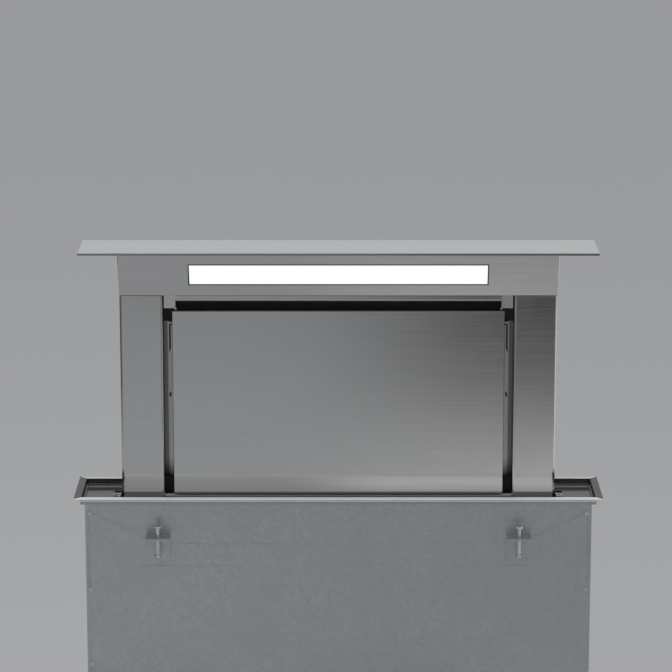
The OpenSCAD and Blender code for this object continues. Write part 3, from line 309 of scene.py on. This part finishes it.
def folded(name, color, lit_fold, roughness):
    """Plate brushed along X, whose level faces, the fold on top, are painted paler and less metallic as painted
    light.
    """
    m, t, b = new_material(name, color, 1.0, roughness)
    lines = brush_lines(t)
    up = level_faces(t, 0.2, 0.9)
    # painted light: faces that look up or down, the top fold among them, get the paler colour
    t.links.new(choose(t, up, grained(t, lines, color, 0.05), grained(t, lines, lit_fold, 0.05)), b.inputs["Base Color"])
    t.links.new(ramp(t, up, 1.0, 0.3, 0, 1), b.inputs["Metallic"])
    t.links.new(ramp(t, lines, roughness, roughness + 0.08), b.inputs["Roughness"])
    bump(t, b, lines, 0.08, BRUSH_DEPTH)
    return m


def cast(name, color, roughness=0.55, metallic=1.0):
    """Cast or painted metal with a fine pebbled skin."""
    m, t, b = new_material(name, color, metallic, roughness)
    v = coords(t)
    t.links.new(two_tones(t, noise(t, v, 90, 4), toned(color, 0.85), toned(color, 1.12)), b.inputs["Base Color"])
    t.links.new(ramp(t, noise(t, v, 40, 3), roughness - 0.08, roughness + 0.1), b.inputs["Roughness"])
    bump(t, b, noise(t, v, 900, 3), 0.35, 0.0003)
    return m


def moulded(name, color, roughness=0.5, grain=700, strength=0.2):
    """Moulded plastic or rubber with a fine texture and slightly uneven gloss."""
    m, t, b = new_material(name, color, 0.0, roughness)
    v = coords(t)
    t.links.new(two_tones(t, noise(t, v, 25, 3), toned(color, 0.88), toned(color, 1.14)), b.inputs["Base Color"])
    t.links.new(ramp(t, noise(t, v, 60, 3), roughness - 0.08, roughness + 0.08), b.inputs["Roughness"])
    bump(t, b, noise(t, v, grain, 2), strength, 0.0002)
    return m


def turned(name, color, roughness=0.2):
    """Ground or zinc-plated round stock."""
    m, t, b = new_material(name, color, 1.0, roughness)
    v = coords(t)
    t.links.new(two_tones(t, noise(t, v, 400, 2), toned(color, 0.92), toned(color, 1.06)), b.inputs["Base Color"])
    t.links.new(ramp(t, noise(t, v, 80, 3), roughness - 0.06, roughness + 0.1), b.inputs["Roughness"])
    bump(t, b, noise(t, v, 1500, 1), 0.08, 0.0001)
    return m


def board(name, color, track):
    """Circuit board under lacquer, with faint tracks."""
    m, t, b = new_material(name, color, 0.0, 0.3)
    v = t.nodes.new("ShaderNodeTexBrick")
    v.inputs["Scale"].default_value = 160
    v.inputs["Mortar Size"].default_value = 0.12
    v.inputs["Color1"].default_value = (*color, 1)
    v.inputs["Color2"].default_value = (*toned(color, 1.5), 1)
    v.inputs["Mortar"].default_value = (*track, 1)
    t.links.new(coords(t), v.inputs["Vector"])
    t.links.new(v.outputs["Color"], b.inputs["Base Color"])
    bump(t, b, v.outputs["Fac"], 0.2, 0.0001)
    return m


def opal(name, color, dim, lit):
    """Lit opal acrylic of slightly uneven brightness."""
    m, t, b = new_material(name, color, 0.0, 0.35)
    t.links.new(two_tones(t, noise(t, coords(t), 60, 1), dim, lit), b.inputs["Emission Color"])
    b.inputs["Emission Strength"].default_value = 0.8
    bump(t, b, noise(t, coords(t), 1200, 1), 0.05, 0.0001)
    return m


STEEL = (0.53, 0.535, 0.535)
looks = {
    # the deck's first two colours are a painted sheen on its strips, and its fourth colour is painted shade on the
    # recess walls
    "deck_steel": framed("deck_steel", (0.90, 0.905, 0.91), side=(0.30, 0.305, 0.31), pan=(0.40, 0.405, 0.41),
                         wall_shade=(0.06, 0.062, 0.065), rough_x=0.42, rough_y=0.16),
    "lid_steel": satin_lid("lid_steel", (0.86, 0.875, 0.88), (0.36, 0.365, 0.37)),
    "head_steel": brushed("head_steel", (0.52, 0.52, 0.518), 0.14),
    "column_steel": brushed("column_steel", STEEL, 0.10, "x", 0.05, 0.08),
    # the last number darkens the panel's and rail's folds and cut edges as painted shade
    "panel_steel": brushed("panel_steel", STEEL, 0.10, "x", 0.05, 0.08, 0.3),
    "rail_steel": brushed("rail_steel", (0.52, 0.525, 0.525), 0.12, "x", 0.05, 0.08, 0.7),
    # the liners' second colour and their darkening at the foot and beside the panel are painted shade
    "liner_steel": stepped_strip("liner_steel", (0.40, 0.405, 0.41), (0.16, 0.162, 0.165),
                                 step_x=0.2855, panel_x=0.2775, foot_z=0.018, shade_top_z=0.050),
    "clip_steel": brushed("clip_steel", (0.60, 0.605, 0.61), 0.22, "z"),
    "galvanised": galvanised("galvanised", (0.50, 0.52, 0.54)),
    "bright_steel": turned("bright_steel", (0.72, 0.72, 0.73), 0.15),
    "zinc_screw": turned("zinc_screw", (0.62, 0.63, 0.65), 0.25),
    "cast_alloy": cast("cast_alloy", (0.42, 0.42, 0.44)),
    "motor_alloy": cast("motor_alloy", (0.10, 0.105, 0.11), 0.45, 0.0),
    "black_rubber": moulded("black_rubber", (0.016, 0.016, 0.017), 0.75, 500, 0.3),
    "belt_rubber": moulded("belt_rubber", (0.02, 0.02, 0.022), 0.65, 900, 0.3),
    "black_plastic": moulded("black_plastic", (0.022, 0.022, 0.024), 0.42),
    "grey_plastic": moulded("grey_plastic", (0.16, 0.16, 0.17), 0.45),
    "white_plastic": moulded("white_plastic", (0.78, 0.78, 0.76), 0.4),
    # painted shade: this near-black coat is on the frame behind the filters, so the inside of the mast seen through
    # the top slot is as dark as its shade
    "black_coat": cast("black_coat", (0.012, 0.012, 0.013), 0.55, 0.0),
    "lead_black": moulded("lead_black", (0.02, 0.02, 0.02), 0.45),
    "green_board": board("green_board", (0.02, 0.14, 0.06), (0.05, 0.2, 0.09)),
    "diffuser": opal("diffuser", (0.5, 0.51, 0.51), (0.955, 0.975, 0.972), (0.975, 0.99, 0.988)),
    "filter_mesh": turned("filter_mesh", (0.50, 0.51, 0.52), 0.38),
}
slots = {s["node"]: s["material_slot"] for s in frame["record"]["subparts"]}
for name, o in nodes.items():
    o.data.materials.clear()
    o.data.materials.append(looks[slots[name]])
# the foot plate's top fold is painted paler as painted light
nodes["foot_plate"].data.materials[0] = folded("foot_steel", STEEL, (0.62, 0.625, 0.63), 0.12)


# ---------- edges: folded and cut sheet has small round edges ----------

def round_edges(name, width):
    o = nodes[name]
    w = o.modifiers.new("weld", "WELD")
    w.merge_threshold = WELD
    b = o.modifiers.new("edges", "BEVEL")
    b.width = width
    b.segments = 2
    b.limit_method = "ANGLE"
    b.angle_limit = math.radians(40)
    b.use_clamp_overlap = True
    b.harden_normals = True


for width, names in (
        (0.0004, ("lid", "head_shell", "left_column", "right_column", "front_panel", "foot_plate",
                  "deck_frame", "panel_catches", "slot_liners")),
        (0.0003, ("body_front", "body_rear", "left_leg", "right_leg", "worktop_clamps",
                  "electrics_box", "electrics_cover", "deck_clips"))):
    for name in names:
        round_edges(name, width)


def curve_shading(degrees):
    """Node group that shades rolled sheet, which the CAD model makes of narrow flats, as one curve."""
    g = bpy.data.node_groups.new("curve_shading", "GeometryNodeTree")
    g.interface.new_socket("Geometry", in_out="INPUT", socket_type="NodeSocketGeometry")
    g.interface.new_socket("Geometry", in_out="OUTPUT", socket_type="NodeSocketGeometry")
    add, link = g.nodes.new, g.links.new
    weld = add("GeometryNodeMergeByDistance")
    weld.inputs["Distance"].default_value = WELD
    link(add("NodeGroupInput").outputs[0], weld.inputs["Geometry"])
    flat_normals = add("GeometryNodeRemoveAttribute")
    flat_normals.inputs["Name"].default_value = "custom_normal"
    link(weld.outputs[0], flat_normals.inputs[0])
    faces = add("GeometryNodeSetShadeSmooth")
    faces.domain = "FACE"
    link(flat_normals.outputs[0], faces.inputs[0])
    bend = add("FunctionNodeCompare")
    bend.operation = "LESS_THAN"
    link(add("GeometryNodeInputMeshEdgeAngle").outputs["Unsigned Angle"], bend.inputs["A"])
    bend.inputs["B"].default_value = math.radians(degrees)
    edges = add("GeometryNodeSetShadeSmooth")
    edges.domain = "EDGE"
    link(faces.outputs[0], edges.inputs[0])
    link(bend.outputs[0], edges.inputs["Shade Smooth"])
    link(edges.outputs[0], add("NodeGroupOutput").inputs[0])
    return g


rolled = curve_shading(25)
for name in ("blower_scroll", "outlet_transition"):
    nodes[name].modifiers.new("rolled", "NODES").node_group = rolled


# ---------- pieces finer than the CAD model's ----------

def piece(name, verts, faces, body, slot, smooth=True):
    me = bpy.data.meshes.new(name)
    me.from_pydata(verts, [], faces)
    me.update()
    if smooth:
        me.shade_smooth()
    o = bpy.data.objects.new(name, me)
    scene.collection.objects.link(o)
    o.data.materials.append(looks[slot])
    if body:
        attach(o, body)
    return o


TUBE_SIDES = 8


def ring(centre, u, w, radius):
    """The points of one ring of a round tube, in the plane of u and w."""
    turn = [2 * math.pi * k / TUBE_SIDES for k in range(TUBE_SIDES)]
    return [centre + (u * math.cos(c) + w * math.sin(c)) * radius for c in turn]


def tube_faces(rings):
    """The faces of a tube made of so many rings, closed at both ends."""
    n = TUBE_SIDES
    faces = []
    for i in range(rings - 1):
        for k in range(n):
            j = (k + 1) % n
            faces.append((i * n + k, i * n + j, (i + 1) * n + j, (i + 1) * n + k))
    faces.append(tuple(reversed(range(n))))
    faces.append(tuple((rings - 1) * n + k for k in range(n)))
    return faces


def direction(path, i):
    """The way the path runs at its point i."""
    return (path[min(len(path) - 1, i + 1)] - path[max(0, i - 1)]).normalized()


# The coiled lead between the casing and the mast
LEAD_RADIUS = 0.0025
LEAD_TURNS = 84
LEAD_STEPS = 16  # points in one turn
LEAD_TAIL = 0.012  # straight length at either end


def helix(name, x, y, z0, z1, radius):
    count = LEAD_TURNS * LEAD_STEPS
    path = [Vector((x + radius * 0.5, y, z0))]
    for i in range(count + 1):
        u = i / count
        a = 2 * math.pi * LEAD_TURNS * u
        path.append(Vector((x + radius * math.cos(a), y + radius * math.sin(a),
                            z0 + LEAD_TAIL + (z1 - z0 - 2 * LEAD_TAIL) * u)))
    path.append(Vector((x + radius * 0.5, y, z1)))
    verts = []
    for i, p in enumerate(path):
        d = direction(path, i)
        u = d.cross(Vector((0, 0, 1)))
        if u.length < 1e-4:
            u = Vector((1, 0, 0))
        u.normalize()
        verts += ring(p, u, d.cross(u).normalized(), LEAD_RADIUS)
    return piece(name, verts, tube_faces(len(path)), None, "lead_black")


lo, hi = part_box("lamp_lead")
lead = helix("lamp_lead_coil", (lo.x + hi.x) / 2, (lo.y + hi.y) / 2, lo.z, hi.z,
             (hi.x - lo.x) / 2 - LEAD_RADIUS - 0.0001)
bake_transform(lead)
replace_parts(lead, "lamp_lead")


# Toothed belts: a plain loop with teeth on the inside of both straight runs
BELT_WIDTH = 0.010
BELT_BACK = 0.0015
TOOTH_PITCH = 0.0052
TOOTH_HEIGHT = 0.0010
TOOTH_MARKS = ((0.15, 0), (0.28, 1), (0.72, 1), (0.85, 0))  # place in the pitch, and share of the height
BEND_STEPS = 24


def toothed_belt(name, side):
    lo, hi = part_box("lift_belts")
    x0, x1 = (lo.x, lo.x + BELT_WIDTH) if side < 0 else (hi.x - BELT_WIDTH, hi.x)
    r1 = (hi.y - lo.y) / 2
    r0 = r1 - BELT_BACK
    y, z0, z1 = (lo.y + hi.y) / 2, lo.z + r1, hi.z - r1
    count = int((z1 - z0) / TOOTH_PITCH)
    pitch = (z1 - z0) / count
    outer, inner = [], []

    def bend(z, start):
        for i in range(BEND_STEPS + 1):
            a = start + math.pi * i / BEND_STEPS
            outer.append((y + r1 * math.cos(a), z + r1 * math.sin(a)))
            inner.append((y + r0 * math.cos(a), z + r0 * math.sin(a)))

    def run(sign, down):
        for i in range(count):
            at = z0 + pitch * (count - 1 - i if down else i)
            for u, high in (reversed(TOOTH_MARKS) if down else TOOTH_MARKS):
                outer.append((y + sign * r1, at + pitch * u))
                inner.append((y + sign * (r0 - TOOTH_HEIGHT * high), at + pitch * u))

    bend(z1, 0)
    run(-1, True)
    bend(z0, math.pi)
    run(1, False)
    n = len(outer)
    verts = [(x, p, q) for x in (x0, x1) for p, q in outer + inner]
    faces = []
    for i in range(n):
        j = (i + 1) % n
        faces += [(i, n + i, n + j, j), (2 * n + i, 2 * n + j, 3 * n + j, 3 * n + i),
                  (i, j, 2 * n + j, 2 * n + i), (n + i, 3 * n + i, 3 * n + j, n + j)]
    return piece(name, verts, faces, "casing", "belt_rubber", False)


for side, label in ((-1, "left"), (1, "right")):
    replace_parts(toothed_belt(label + "_toothed_belt", side), "lift_belts")


# Cross recesses in the heads of the casing's screws
def islands(name):
    """The boxes of a node's separate solids."""
    bm = bmesh.new()
    bm.from_mesh(nodes[name].data)
    bmesh.ops.remove_doubles(bm, verts=bm.verts, dist=WELD)
    seen_verts, boxes = set(), []
    for v in bm.verts:
        if v in seen_verts:
            continue
        stack, group = [v], []
        seen_verts.add(v)
        while stack:
            w = stack.pop()
            group.append(w.co)
            for edge in w.link_edges:
                o = edge.other_vert(w)
                if o not in seen_verts:
                    seen_verts.add(o)
                    stack.append(o)
        boxes.append(([min(c[i] for c in group) for i in range(3)],
                      [max(c[i] for c in group) for i in range(3)]))
    bm.free()
    return boxes


HEAD_R = 0.0036
HEAD_HEIGHT = 0.002
HEAD_FLAT = 0.72  # share of the head's radius that is flat on top
SHANK_R = 0.0018
SCREW_SIDES = 24
CROSS_HALF_WIDTH = 0.00045
CROSS_REACH = 0.0021
CROSS_DEPTH = 0.0011
CROSS_TAPER = 0.82
CROSS_POINTS = 12


def cross_screw(verts, faces, x, y, z, facing, length):
    """A pan-head screw along Y with a cross recess. facing is -1 for a head towards -Y."""
    def add(px, pz, d):
        verts.append((x + px, y + facing * d, z + pz))
        return len(verts) - 1

    rings = []
    for r, d in ((SHANK_R, -length), (SHANK_R, 0.0), (HEAD_R, 0.0), (HEAD_R, HEAD_HEIGHT * 0.55),
                 (HEAD_R * 0.93, HEAD_HEIGHT * 0.85), (HEAD_R * HEAD_FLAT, HEAD_HEIGHT)):
        rings.append([add(r * math.cos(2 * math.pi * k / SCREW_SIDES), r * math.sin(2 * math.pi * k / SCREW_SIDES), d)
                      for k in range(SCREW_SIDES)])
    w = CROSS_HALF_WIDTH
    cross = [(c * u - s * v, s * u + c * v) for c, s in ((1, 0), (0, 1), (-1, 0), (0, -1))
             for u, v in ((CROSS_REACH, -w), (CROSS_REACH, w), (w, w))]
    top = [add(px, pz, HEAD_HEIGHT) for px, pz in cross]
    low = [add(px * CROSS_TAPER, pz * CROSS_TAPER, HEAD_HEIGHT - CROSS_DEPTH) for px, pz in cross]
    new = []
    for a, b in zip(rings, rings[1:]):
        new += [(a[k], a[(k + 1) % SCREW_SIDES], b[(k + 1) % SCREW_SIDES], b[k]) for k in range(SCREW_SIDES)]
    # the flat top around the cross: each side of its rim joins the nearest cross point
    rim = rings[-1]
    near = []
    for k in range(SCREW_SIDES):
        a = 2 * math.pi * (k + 0.5) / SCREW_SIDES
        px, pz = HEAD_R * HEAD_FLAT * math.cos(a), HEAD_R * HEAD_FLAT * math.sin(a)
        near.append(min(range(CROSS_POINTS), key=lambda i: (cross[i][0] - px) ** 2 + (cross[i][1] - pz) ** 2))
    for k in range(SCREW_SIDES):
        following = (k + 1) % SCREW_SIDES
        new.append((rim[k], rim[following], top[near[k]]))
        i = near[k]
        while i != near[following]:
            n = (i + 1) % CROSS_POINTS
            new.append((rim[following], top[n], top[i]))
            i = n
    for k in range(CROSS_POINTS):
        n = (k + 1) % CROSS_POINTS
        new.append((top[k], top[n], low[n], low[k]))
    new.append(tuple(low))
    new.append(tuple(reversed(rings[0])))
    if facing > 0:
        new = [tuple(reversed(f)) for f in new]
    faces.extend(new)


REAR_SCREWS_Y = 0.03  # screws that reach beyond this have their heads at the back
verts, faces = [], []
for lo, hi in islands("casing_screws"):
    cx, cz = (lo[0] + hi[0]) / 2, (lo[2] + hi[2]) / 2
    length = hi[1] - lo[1] - HEAD_HEIGHT
    if hi[1] > REAR_SCREWS_Y:
        cross_screw(verts, faces, cx, hi[1] - HEAD_HEIGHT, cz, 1, length)
    else:
        cross_screw(verts, faces, cx, lo[1] + HEAD_HEIGHT, cz, -1, length)
screws = piece("cross_head_screws", verts, faces, "casing", "zinc_screw", False)
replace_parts(screws, "casing_screws")


# Cooling ribs around the blower motor's can
RIB_COUNT = 30
RIB_LENGTH = 0.040
RIB_DEPTH = 0.0022
RIB_THICK = 0.0018
RIB_SLOPE = 0.003  # length of the slope at either end
RIB_START = 0.004  # distance from the can's outer end
CAN_R = 0.048


def ribs(name, node, slot):
    lo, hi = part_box(node)
    cx, cz = (lo.x + hi.x) / 2, (lo.z + hi.z) / 2
    y0 = lo.y + RIB_START
    verts, faces = [], []
    for i in range(RIB_COUNT):
        a = 2 * math.pi * (i + 0.5) / RIB_COUNT
        u = Vector((math.cos(a), 0, math.sin(a)))
        v = Vector((-math.sin(a), 0, math.cos(a)))
        k = len(verts)
        for y, d in ((y0, RIB_DEPTH * 0.4), (y0 + RIB_SLOPE, RIB_DEPTH), (y0 + RIB_LENGTH - RIB_SLOPE, RIB_DEPTH),
                     (y0 + RIB_LENGTH, RIB_DEPTH * 0.4)):
            c = Vector((cx, y, cz))
            for r, w in ((CAN_R - 0.0005, RIB_THICK), (CAN_R + d, RIB_THICK * 0.6)):
                verts.append(c + u * r + v * w / 2)
                verts.append(c + u * r - v * w / 2)
        for j in range(3):
            b = k + 4 * j
            faces += [(b + 2, b + 3, b + 7, b + 6), (b, b + 2, b + 6, b + 4), (b + 1, b + 5, b + 7, b + 3)]
        faces += [(k, k + 1, k + 3, k + 2), (k + 12, k + 14, k + 15, k + 13)]
    return piece(name, verts, faces, "casing", slot, False)


ribs("blower_motor_ribs", "blower_motor", "motor_alloy")


# Wires in the electrics box, as round tubes on smooth curves. Their points are in millimetres.
WIRE_RADIUS = 0.0011
WIRE_STEPS = 6  # points between two given ones


def wire(name, points, slot):
    pts = [Vector(p) / 1000 for p in points]
    path = []
    for i in range(len(pts) - 1):
        p0, p1 = pts[max(0, i - 1)], pts[i]
        p2, p3 = pts[i + 1], pts[min(len(pts) - 1, i + 2)]
        for k in range(WIRE_STEPS):
            u = k / WIRE_STEPS
            path.append(0.5 * ((2 * p1) + (p2 - p0) * u + (2 * p0 - 5 * p1 + 4 * p2 - p3) * u * u
                               + (3 * p1 - p0 - 3 * p2 + p3) * u ** 3))
    path.append(pts[-1])
    verts = []
    up = Vector((0.3, 0.2, 0.93))
    for i, p in enumerate(path):
        d = direction(path, i)
        u = d.cross(up).normalized()
        up = u.cross(d).normalized()
        verts += ring(p, u, up, WIRE_RADIUS)
    return piece(name, verts, tube_faces(len(path)), "casing", slot)


for i, slot_name in enumerate(("grey_plastic", "lead_black", "white_plastic", "grey_plastic")):
    x0, x1 = -392 + 8 * i, -330 + 8 * i
    wire("board_wire_%d" % i,
         [(x0, -79, -399), (x0, -86, -399), (x0 + 6, -94, -405), (x0 + 26 + 6 * i, -96, -412 - 3 * i),
          (x1, -92, -408), (x1, -80, -404), (x1, -69, -404)], slot_name)


# Thin black rubber strip around the light, on the head's sloping face: a painted shadow of the gap around the
# diffuser
def light_gap_shade(width, height, sink):
    face = max((f for f in nodes["head_shell"].data.polygons if f.normal.y < -0.5 and f.normal.z < -0.2),
               key=lambda f: f.area)
    n, up = face.normal.copy(), Vector((1, 0, 0)).cross(face.normal)
    up = up if up.z > 0 else -up
    depth = face.center.dot(n)
    corners = [v.co for v in nodes["light_diffuser"].data.vertices]
    front = max(c.dot(n) for c in corners)
    along = [c.dot(up) for c in corners if c.dot(n) > front - 0.0002]
    lo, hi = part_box("light_diffuser")
    profile = ((0, -sink), (width, -sink), (width, height * 0.6), (width * 0.7, height), (width * 0.3, height),
               (0, height * 0.6))
    verts, faces = [], []
    for grow, d in profile:
        for x, u in ((lo.x - grow, min(along) - grow), (hi.x + grow, min(along) - grow),
                     (hi.x + grow, max(along) + grow), (lo.x - grow, max(along) + grow)):
            verts.append(Vector((x, 0, 0)) + up * u + n * (depth + d))
    for k in range(len(profile)):
        m = (k + 1) % len(profile)
        for i in range(4):
            j = (i + 1) % 4
            faces.append((4 * k + i, 4 * m + i, 4 * m + j, 4 * k + j))
    return piece("light_gap_shade", verts, faces, "mast", "black_rubber", False)


light_gap_shade(width=0.0010, height=0.00025, sink=0.0004)


# Expanded metal over the front of each filter
NET_WIDTH = 0.0085  # about, since each filter takes a whole number of meshes
NET_HEIGHT = 0.0055
NET_THICK = 0.0006
NET_HALF_BAR = 0.0007
NET_FROM_MIDDLE = 0.013
NET_EDGE = 0.012
NET_SET_BACK = 0.0033  # behind the front of the filter's frame


def filter_net(name, side):
    lo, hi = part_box("grease_filters")
    x0, x1 = NET_FROM_MIDDLE, hi.x - NET_EDGE
    z0, z1 = lo.z + NET_EDGE, hi.z - NET_EDGE
    y0, y1 = lo.y + NET_SET_BACK, lo.y + NET_SET_BACK + NET_THICK
    nx, nz = int((x1 - x0) / NET_WIDTH), int((z1 - z0) / NET_HEIGHT)
    w, h = (x1 - x0) / nx, (z1 - z0) / nz
    verts, faces = [], []

    def strip(a, b):
        d = (b - a).normalized()
        n = Vector((-d.y, d.x)) * NET_HALF_BAR
        k = len(verts)
        for p, s in ((a, 1), (a, -1), (b, -1), (b, 1)):
            verts.extend((side * (p.x + n.x * s), y, p.y + n.y * s) for y in (y0, y1))
        faces.extend([(k, k + 2, k + 4, k + 6), (k + 1, k + 7, k + 5, k + 3),
                      (k, k + 1, k + 3, k + 2), (k + 2, k + 3, k + 5, k + 4),
                      (k + 4, k + 5, k + 7, k + 6), (k + 6, k + 7, k + 1, k)])

    for i in range(nx):
        for j in range(nz):
            left = Vector((x0 + i * w, z0 + (j + 0.5) * h))
            top = Vector((x0 + (i + 0.5) * w, z0 + (j + 1) * h))
            low = Vector((x0 + (i + 0.5) * w, z0 + j * h))
            right = Vector((x0 + (i + 1) * w, z0 + (j + 0.5) * h))
            for a, b in ((left, top), (left, low), (top, right), (low, right)):
                strip(a, b)
    return piece(name, verts, faces, "mast", "filter_mesh", False)


for side, label in ((-1, "left"), (1, "right")):
    filter_net(label + "_filter_net", side)


# ---------- floor, sky and lamps ----------

FLOOR_HALF = 30
me = bpy.data.meshes.new("floor")
me.from_pydata([(x * FLOOR_HALF, y * FLOOR_HALF, FLOOR_Z) for x, y in ((-1, -1), (1, -1), (1, 1), (-1, 1))],
               [], [(0, 1, 2, 3)])
floor = bpy.data.objects.new("floor", me)
scene.collection.objects.link(floor)
floor_material, tree, shader = new_material("floor", (0.495, 0.50, 0.51), 0.0, 0.9)
shader.inputs["Specular IOR Level"].default_value = 0.1
floor.data.materials.append(floor_material)

world = bpy.data.worlds.new("world")
scene.world = world
world.use_nodes = True
tree = world.node_tree
sky = tree.nodes["Background"]
sky.inputs["Strength"].default_value = 0.9
height = axes(tree, tree.nodes.new("ShaderNodeTexCoord").outputs["Generated"])[2]
tree.links.new(two_tones(tree, height, (0.30, 0.305, 0.31), (0.86, 0.865, 0.87), 0.30, 0.75), sky.inputs["Color"])


def area(name, location, size, power):
    """A square lamp that looks at the origin and isn't mirrored by the part."""
    d = bpy.data.lights.new(name, "AREA")
    d.shape = "RECTANGLE"
    d.size = d.size_y = size
    d.energy = power
    o = bpy.data.objects.new(name, d)
    o.visible_glossy = False
    scene.collection.objects.link(o)
    o.location = location
    o.rotation_euler = (-Vector(location)).to_track_quat("-Z", "Y").to_euler()


area("key", (-2.2, -2.6, 3.2), 2.6, 60)
area("fill", (2.6, -2.0, 2.2), 2.0, 25)


# ---------- cards that only the steel mirrors ----------

def stops_along(t, value, stops, kind="LINEAR"):
    """Grey levels given at places along one coordinate."""
    cr = t.nodes.new("ShaderNodeValToRGB")
    cr.color_ramp.interpolation = kind
    first, last = stops[0][0], stops[-1][0]
    e = cr.color_ramp.elements
    while len(e) < len(stops):
        e.new(0.5)
    for i, (at, level) in enumerate(stops):
        e[i].position = (at - first) / (last - first)
        e[i].color = (level, level, level, 1)
    t.links.new(ramp(t, value, 0.0, 1.0, first, last), cr.inputs["Fac"])
    return cr.outputs["Color"]


def mix_shaders(t, factor, a, b):
    """Shader a where the factor is 0 and shader b where it is 1."""
    n = t.nodes.new("ShaderNodeMixShader")
    for socket, value in zip(n.inputs, (factor, a, b)):
        t.links.new(value, socket)
    return n.outputs[0]


def reflection(name, x, y, z, axis, stops, fade=None):
    """A card between pairs of x, y and z. Its stops go along one axis and its fade along X.
    A level card shines upwards only."""
    corners = [(x[0], y[0], z[0]), (x[1], y[0], z[0]), (x[1], y[1], z[1]), (x[0], y[1], z[1])]
    if x[0] == x[1]:
        corners = [(x[0], y[0], z[0]), (x[0], y[1], z[0]), (x[0], y[1], z[1]), (x[0], y[0], z[1])]
    me = bpy.data.meshes.new(name)
    me.from_pydata(corners, [], [(0, 1, 2, 3)])
    o = bpy.data.objects.new(name, me)
    scene.collection.objects.link(o)
    m = bpy.data.materials.new(name)
    m.use_nodes = True
    t = m.node_tree
    t.nodes.clear()
    out = t.nodes.new("ShaderNodeOutputMaterial")
    at = axes(t, t.nodes.new("ShaderNodeTexCoord").outputs["Object"])
    em = t.nodes.new("ShaderNodeEmission")
    t.links.new(stops_along(t, at[axis], stops), em.inputs["Color"])
    clear = t.nodes.new("ShaderNodeBsdfTransparent").outputs[0]
    shader = em.outputs[0]
    if fade:
        shader = mix_shaders(t, stops_along(t, at[0], fade, "EASE"), clear, shader)
    if z[0] == z[1]:
        shader = mix_shaders(t, t.nodes.new("ShaderNodeNewGeometry").outputs["Backfacing"], shader, clear)
    t.links.new(shader, out.inputs["Surface"])
    o.data.materials.append(m)
    o.visible_camera = False
    o.visible_diffuse = False
    o.visible_shadow = False
    o.visible_transmission = False
    o.visible_volume_scatter = False


# The floor of the room: dark far out on the right, bright nearer, and dark again where the rail's fold sees it
FLOOR_CARD_Z = FLOOR_Z + 0.004
reflection("floor_card", (-0.4, 2.6), (-7.0, -1.2), (FLOOR_CARD_Z, FLOOR_CARD_Z), 1,
           [(-7.0, 0.085), (-4.9, 0.09), (-4.25, 0.15), (-3.55, 0.27), (-3.0, 0.52), (-2.8, 0.64), (-2.0, 0.60),
            (-1.7, 0.13), (-1.2, 0.13)],
           [(-0.25, 0), (0.70, 1)])
# The pale worktop in front of the mast, at the height of the deck and inside its slot, brighter on the right
SLOT_HALF = 0.364
for name, y, z, left, right in (
        ("worktop_card", (-0.056, 0.0), 0.003, [(-0.056, 0.425), (0.0, 0.395)], [(-0.056, 0.63), (0.0, 0.63)]),
        ("slot_card", (-0.047, 0.0055), -0.0084,
         [(-0.047, 0.395), (-0.003, 0.355), (0.0005, 0.10), (0.0055, 0.10)],
         [(-0.047, 0.62), (-0.020, 0.54), (-0.003, 0.44), (0.0005, 0.12), (0.0055, 0.12)])):
    reflection(name, (-SLOT_HALF, SLOT_HALF), y, (z, z), 1, left)
    reflection(name + "_right", (-0.1, SLOT_HALF), y, (z + 0.0002, z + 0.0002), 1, right, [(-0.1, 0), (0.10, 1)])
# The dark inside of the slot, seen by the mast's foot
reflection("low_card", (-SLOT_HALF, SLOT_HALF), (-0.030, 0.0055), (-0.016, -0.016), 1,
           [(-0.030, 0.14), (0.0055, 0.10)])
# The worktop as the sloping head sees it, brighter right of its middle
reflection("head_card", (-0.2, 0.80), (-0.82, -0.50), (-0.73, -0.73), 1,
           [(-0.82, 0.43), (-0.70, 0.44), (-0.665, 0.48), (-0.63, 0.57), (-0.50, 0.62)],
           [(-0.20, 0), (0.16, 1), (0.34, 1), (0.55, 0.4), (0.80, 0)])
# The pale room on the right, and a dark wall high up on the left
reflection("right_card", (1.0, 1.0), (-0.6, 0.6), (-0.6, 0.5), 2, [(-0.6, 0.85), (0.5, 0.85)])
reflection("left_card", (-1.0, -1.0), (-0.6, 0.6), (-0.6, 0.5), 2,
           [(-0.6, 0.45), (-0.17, 0.45), (0.13, 0.12), (0.5, 0.12)])
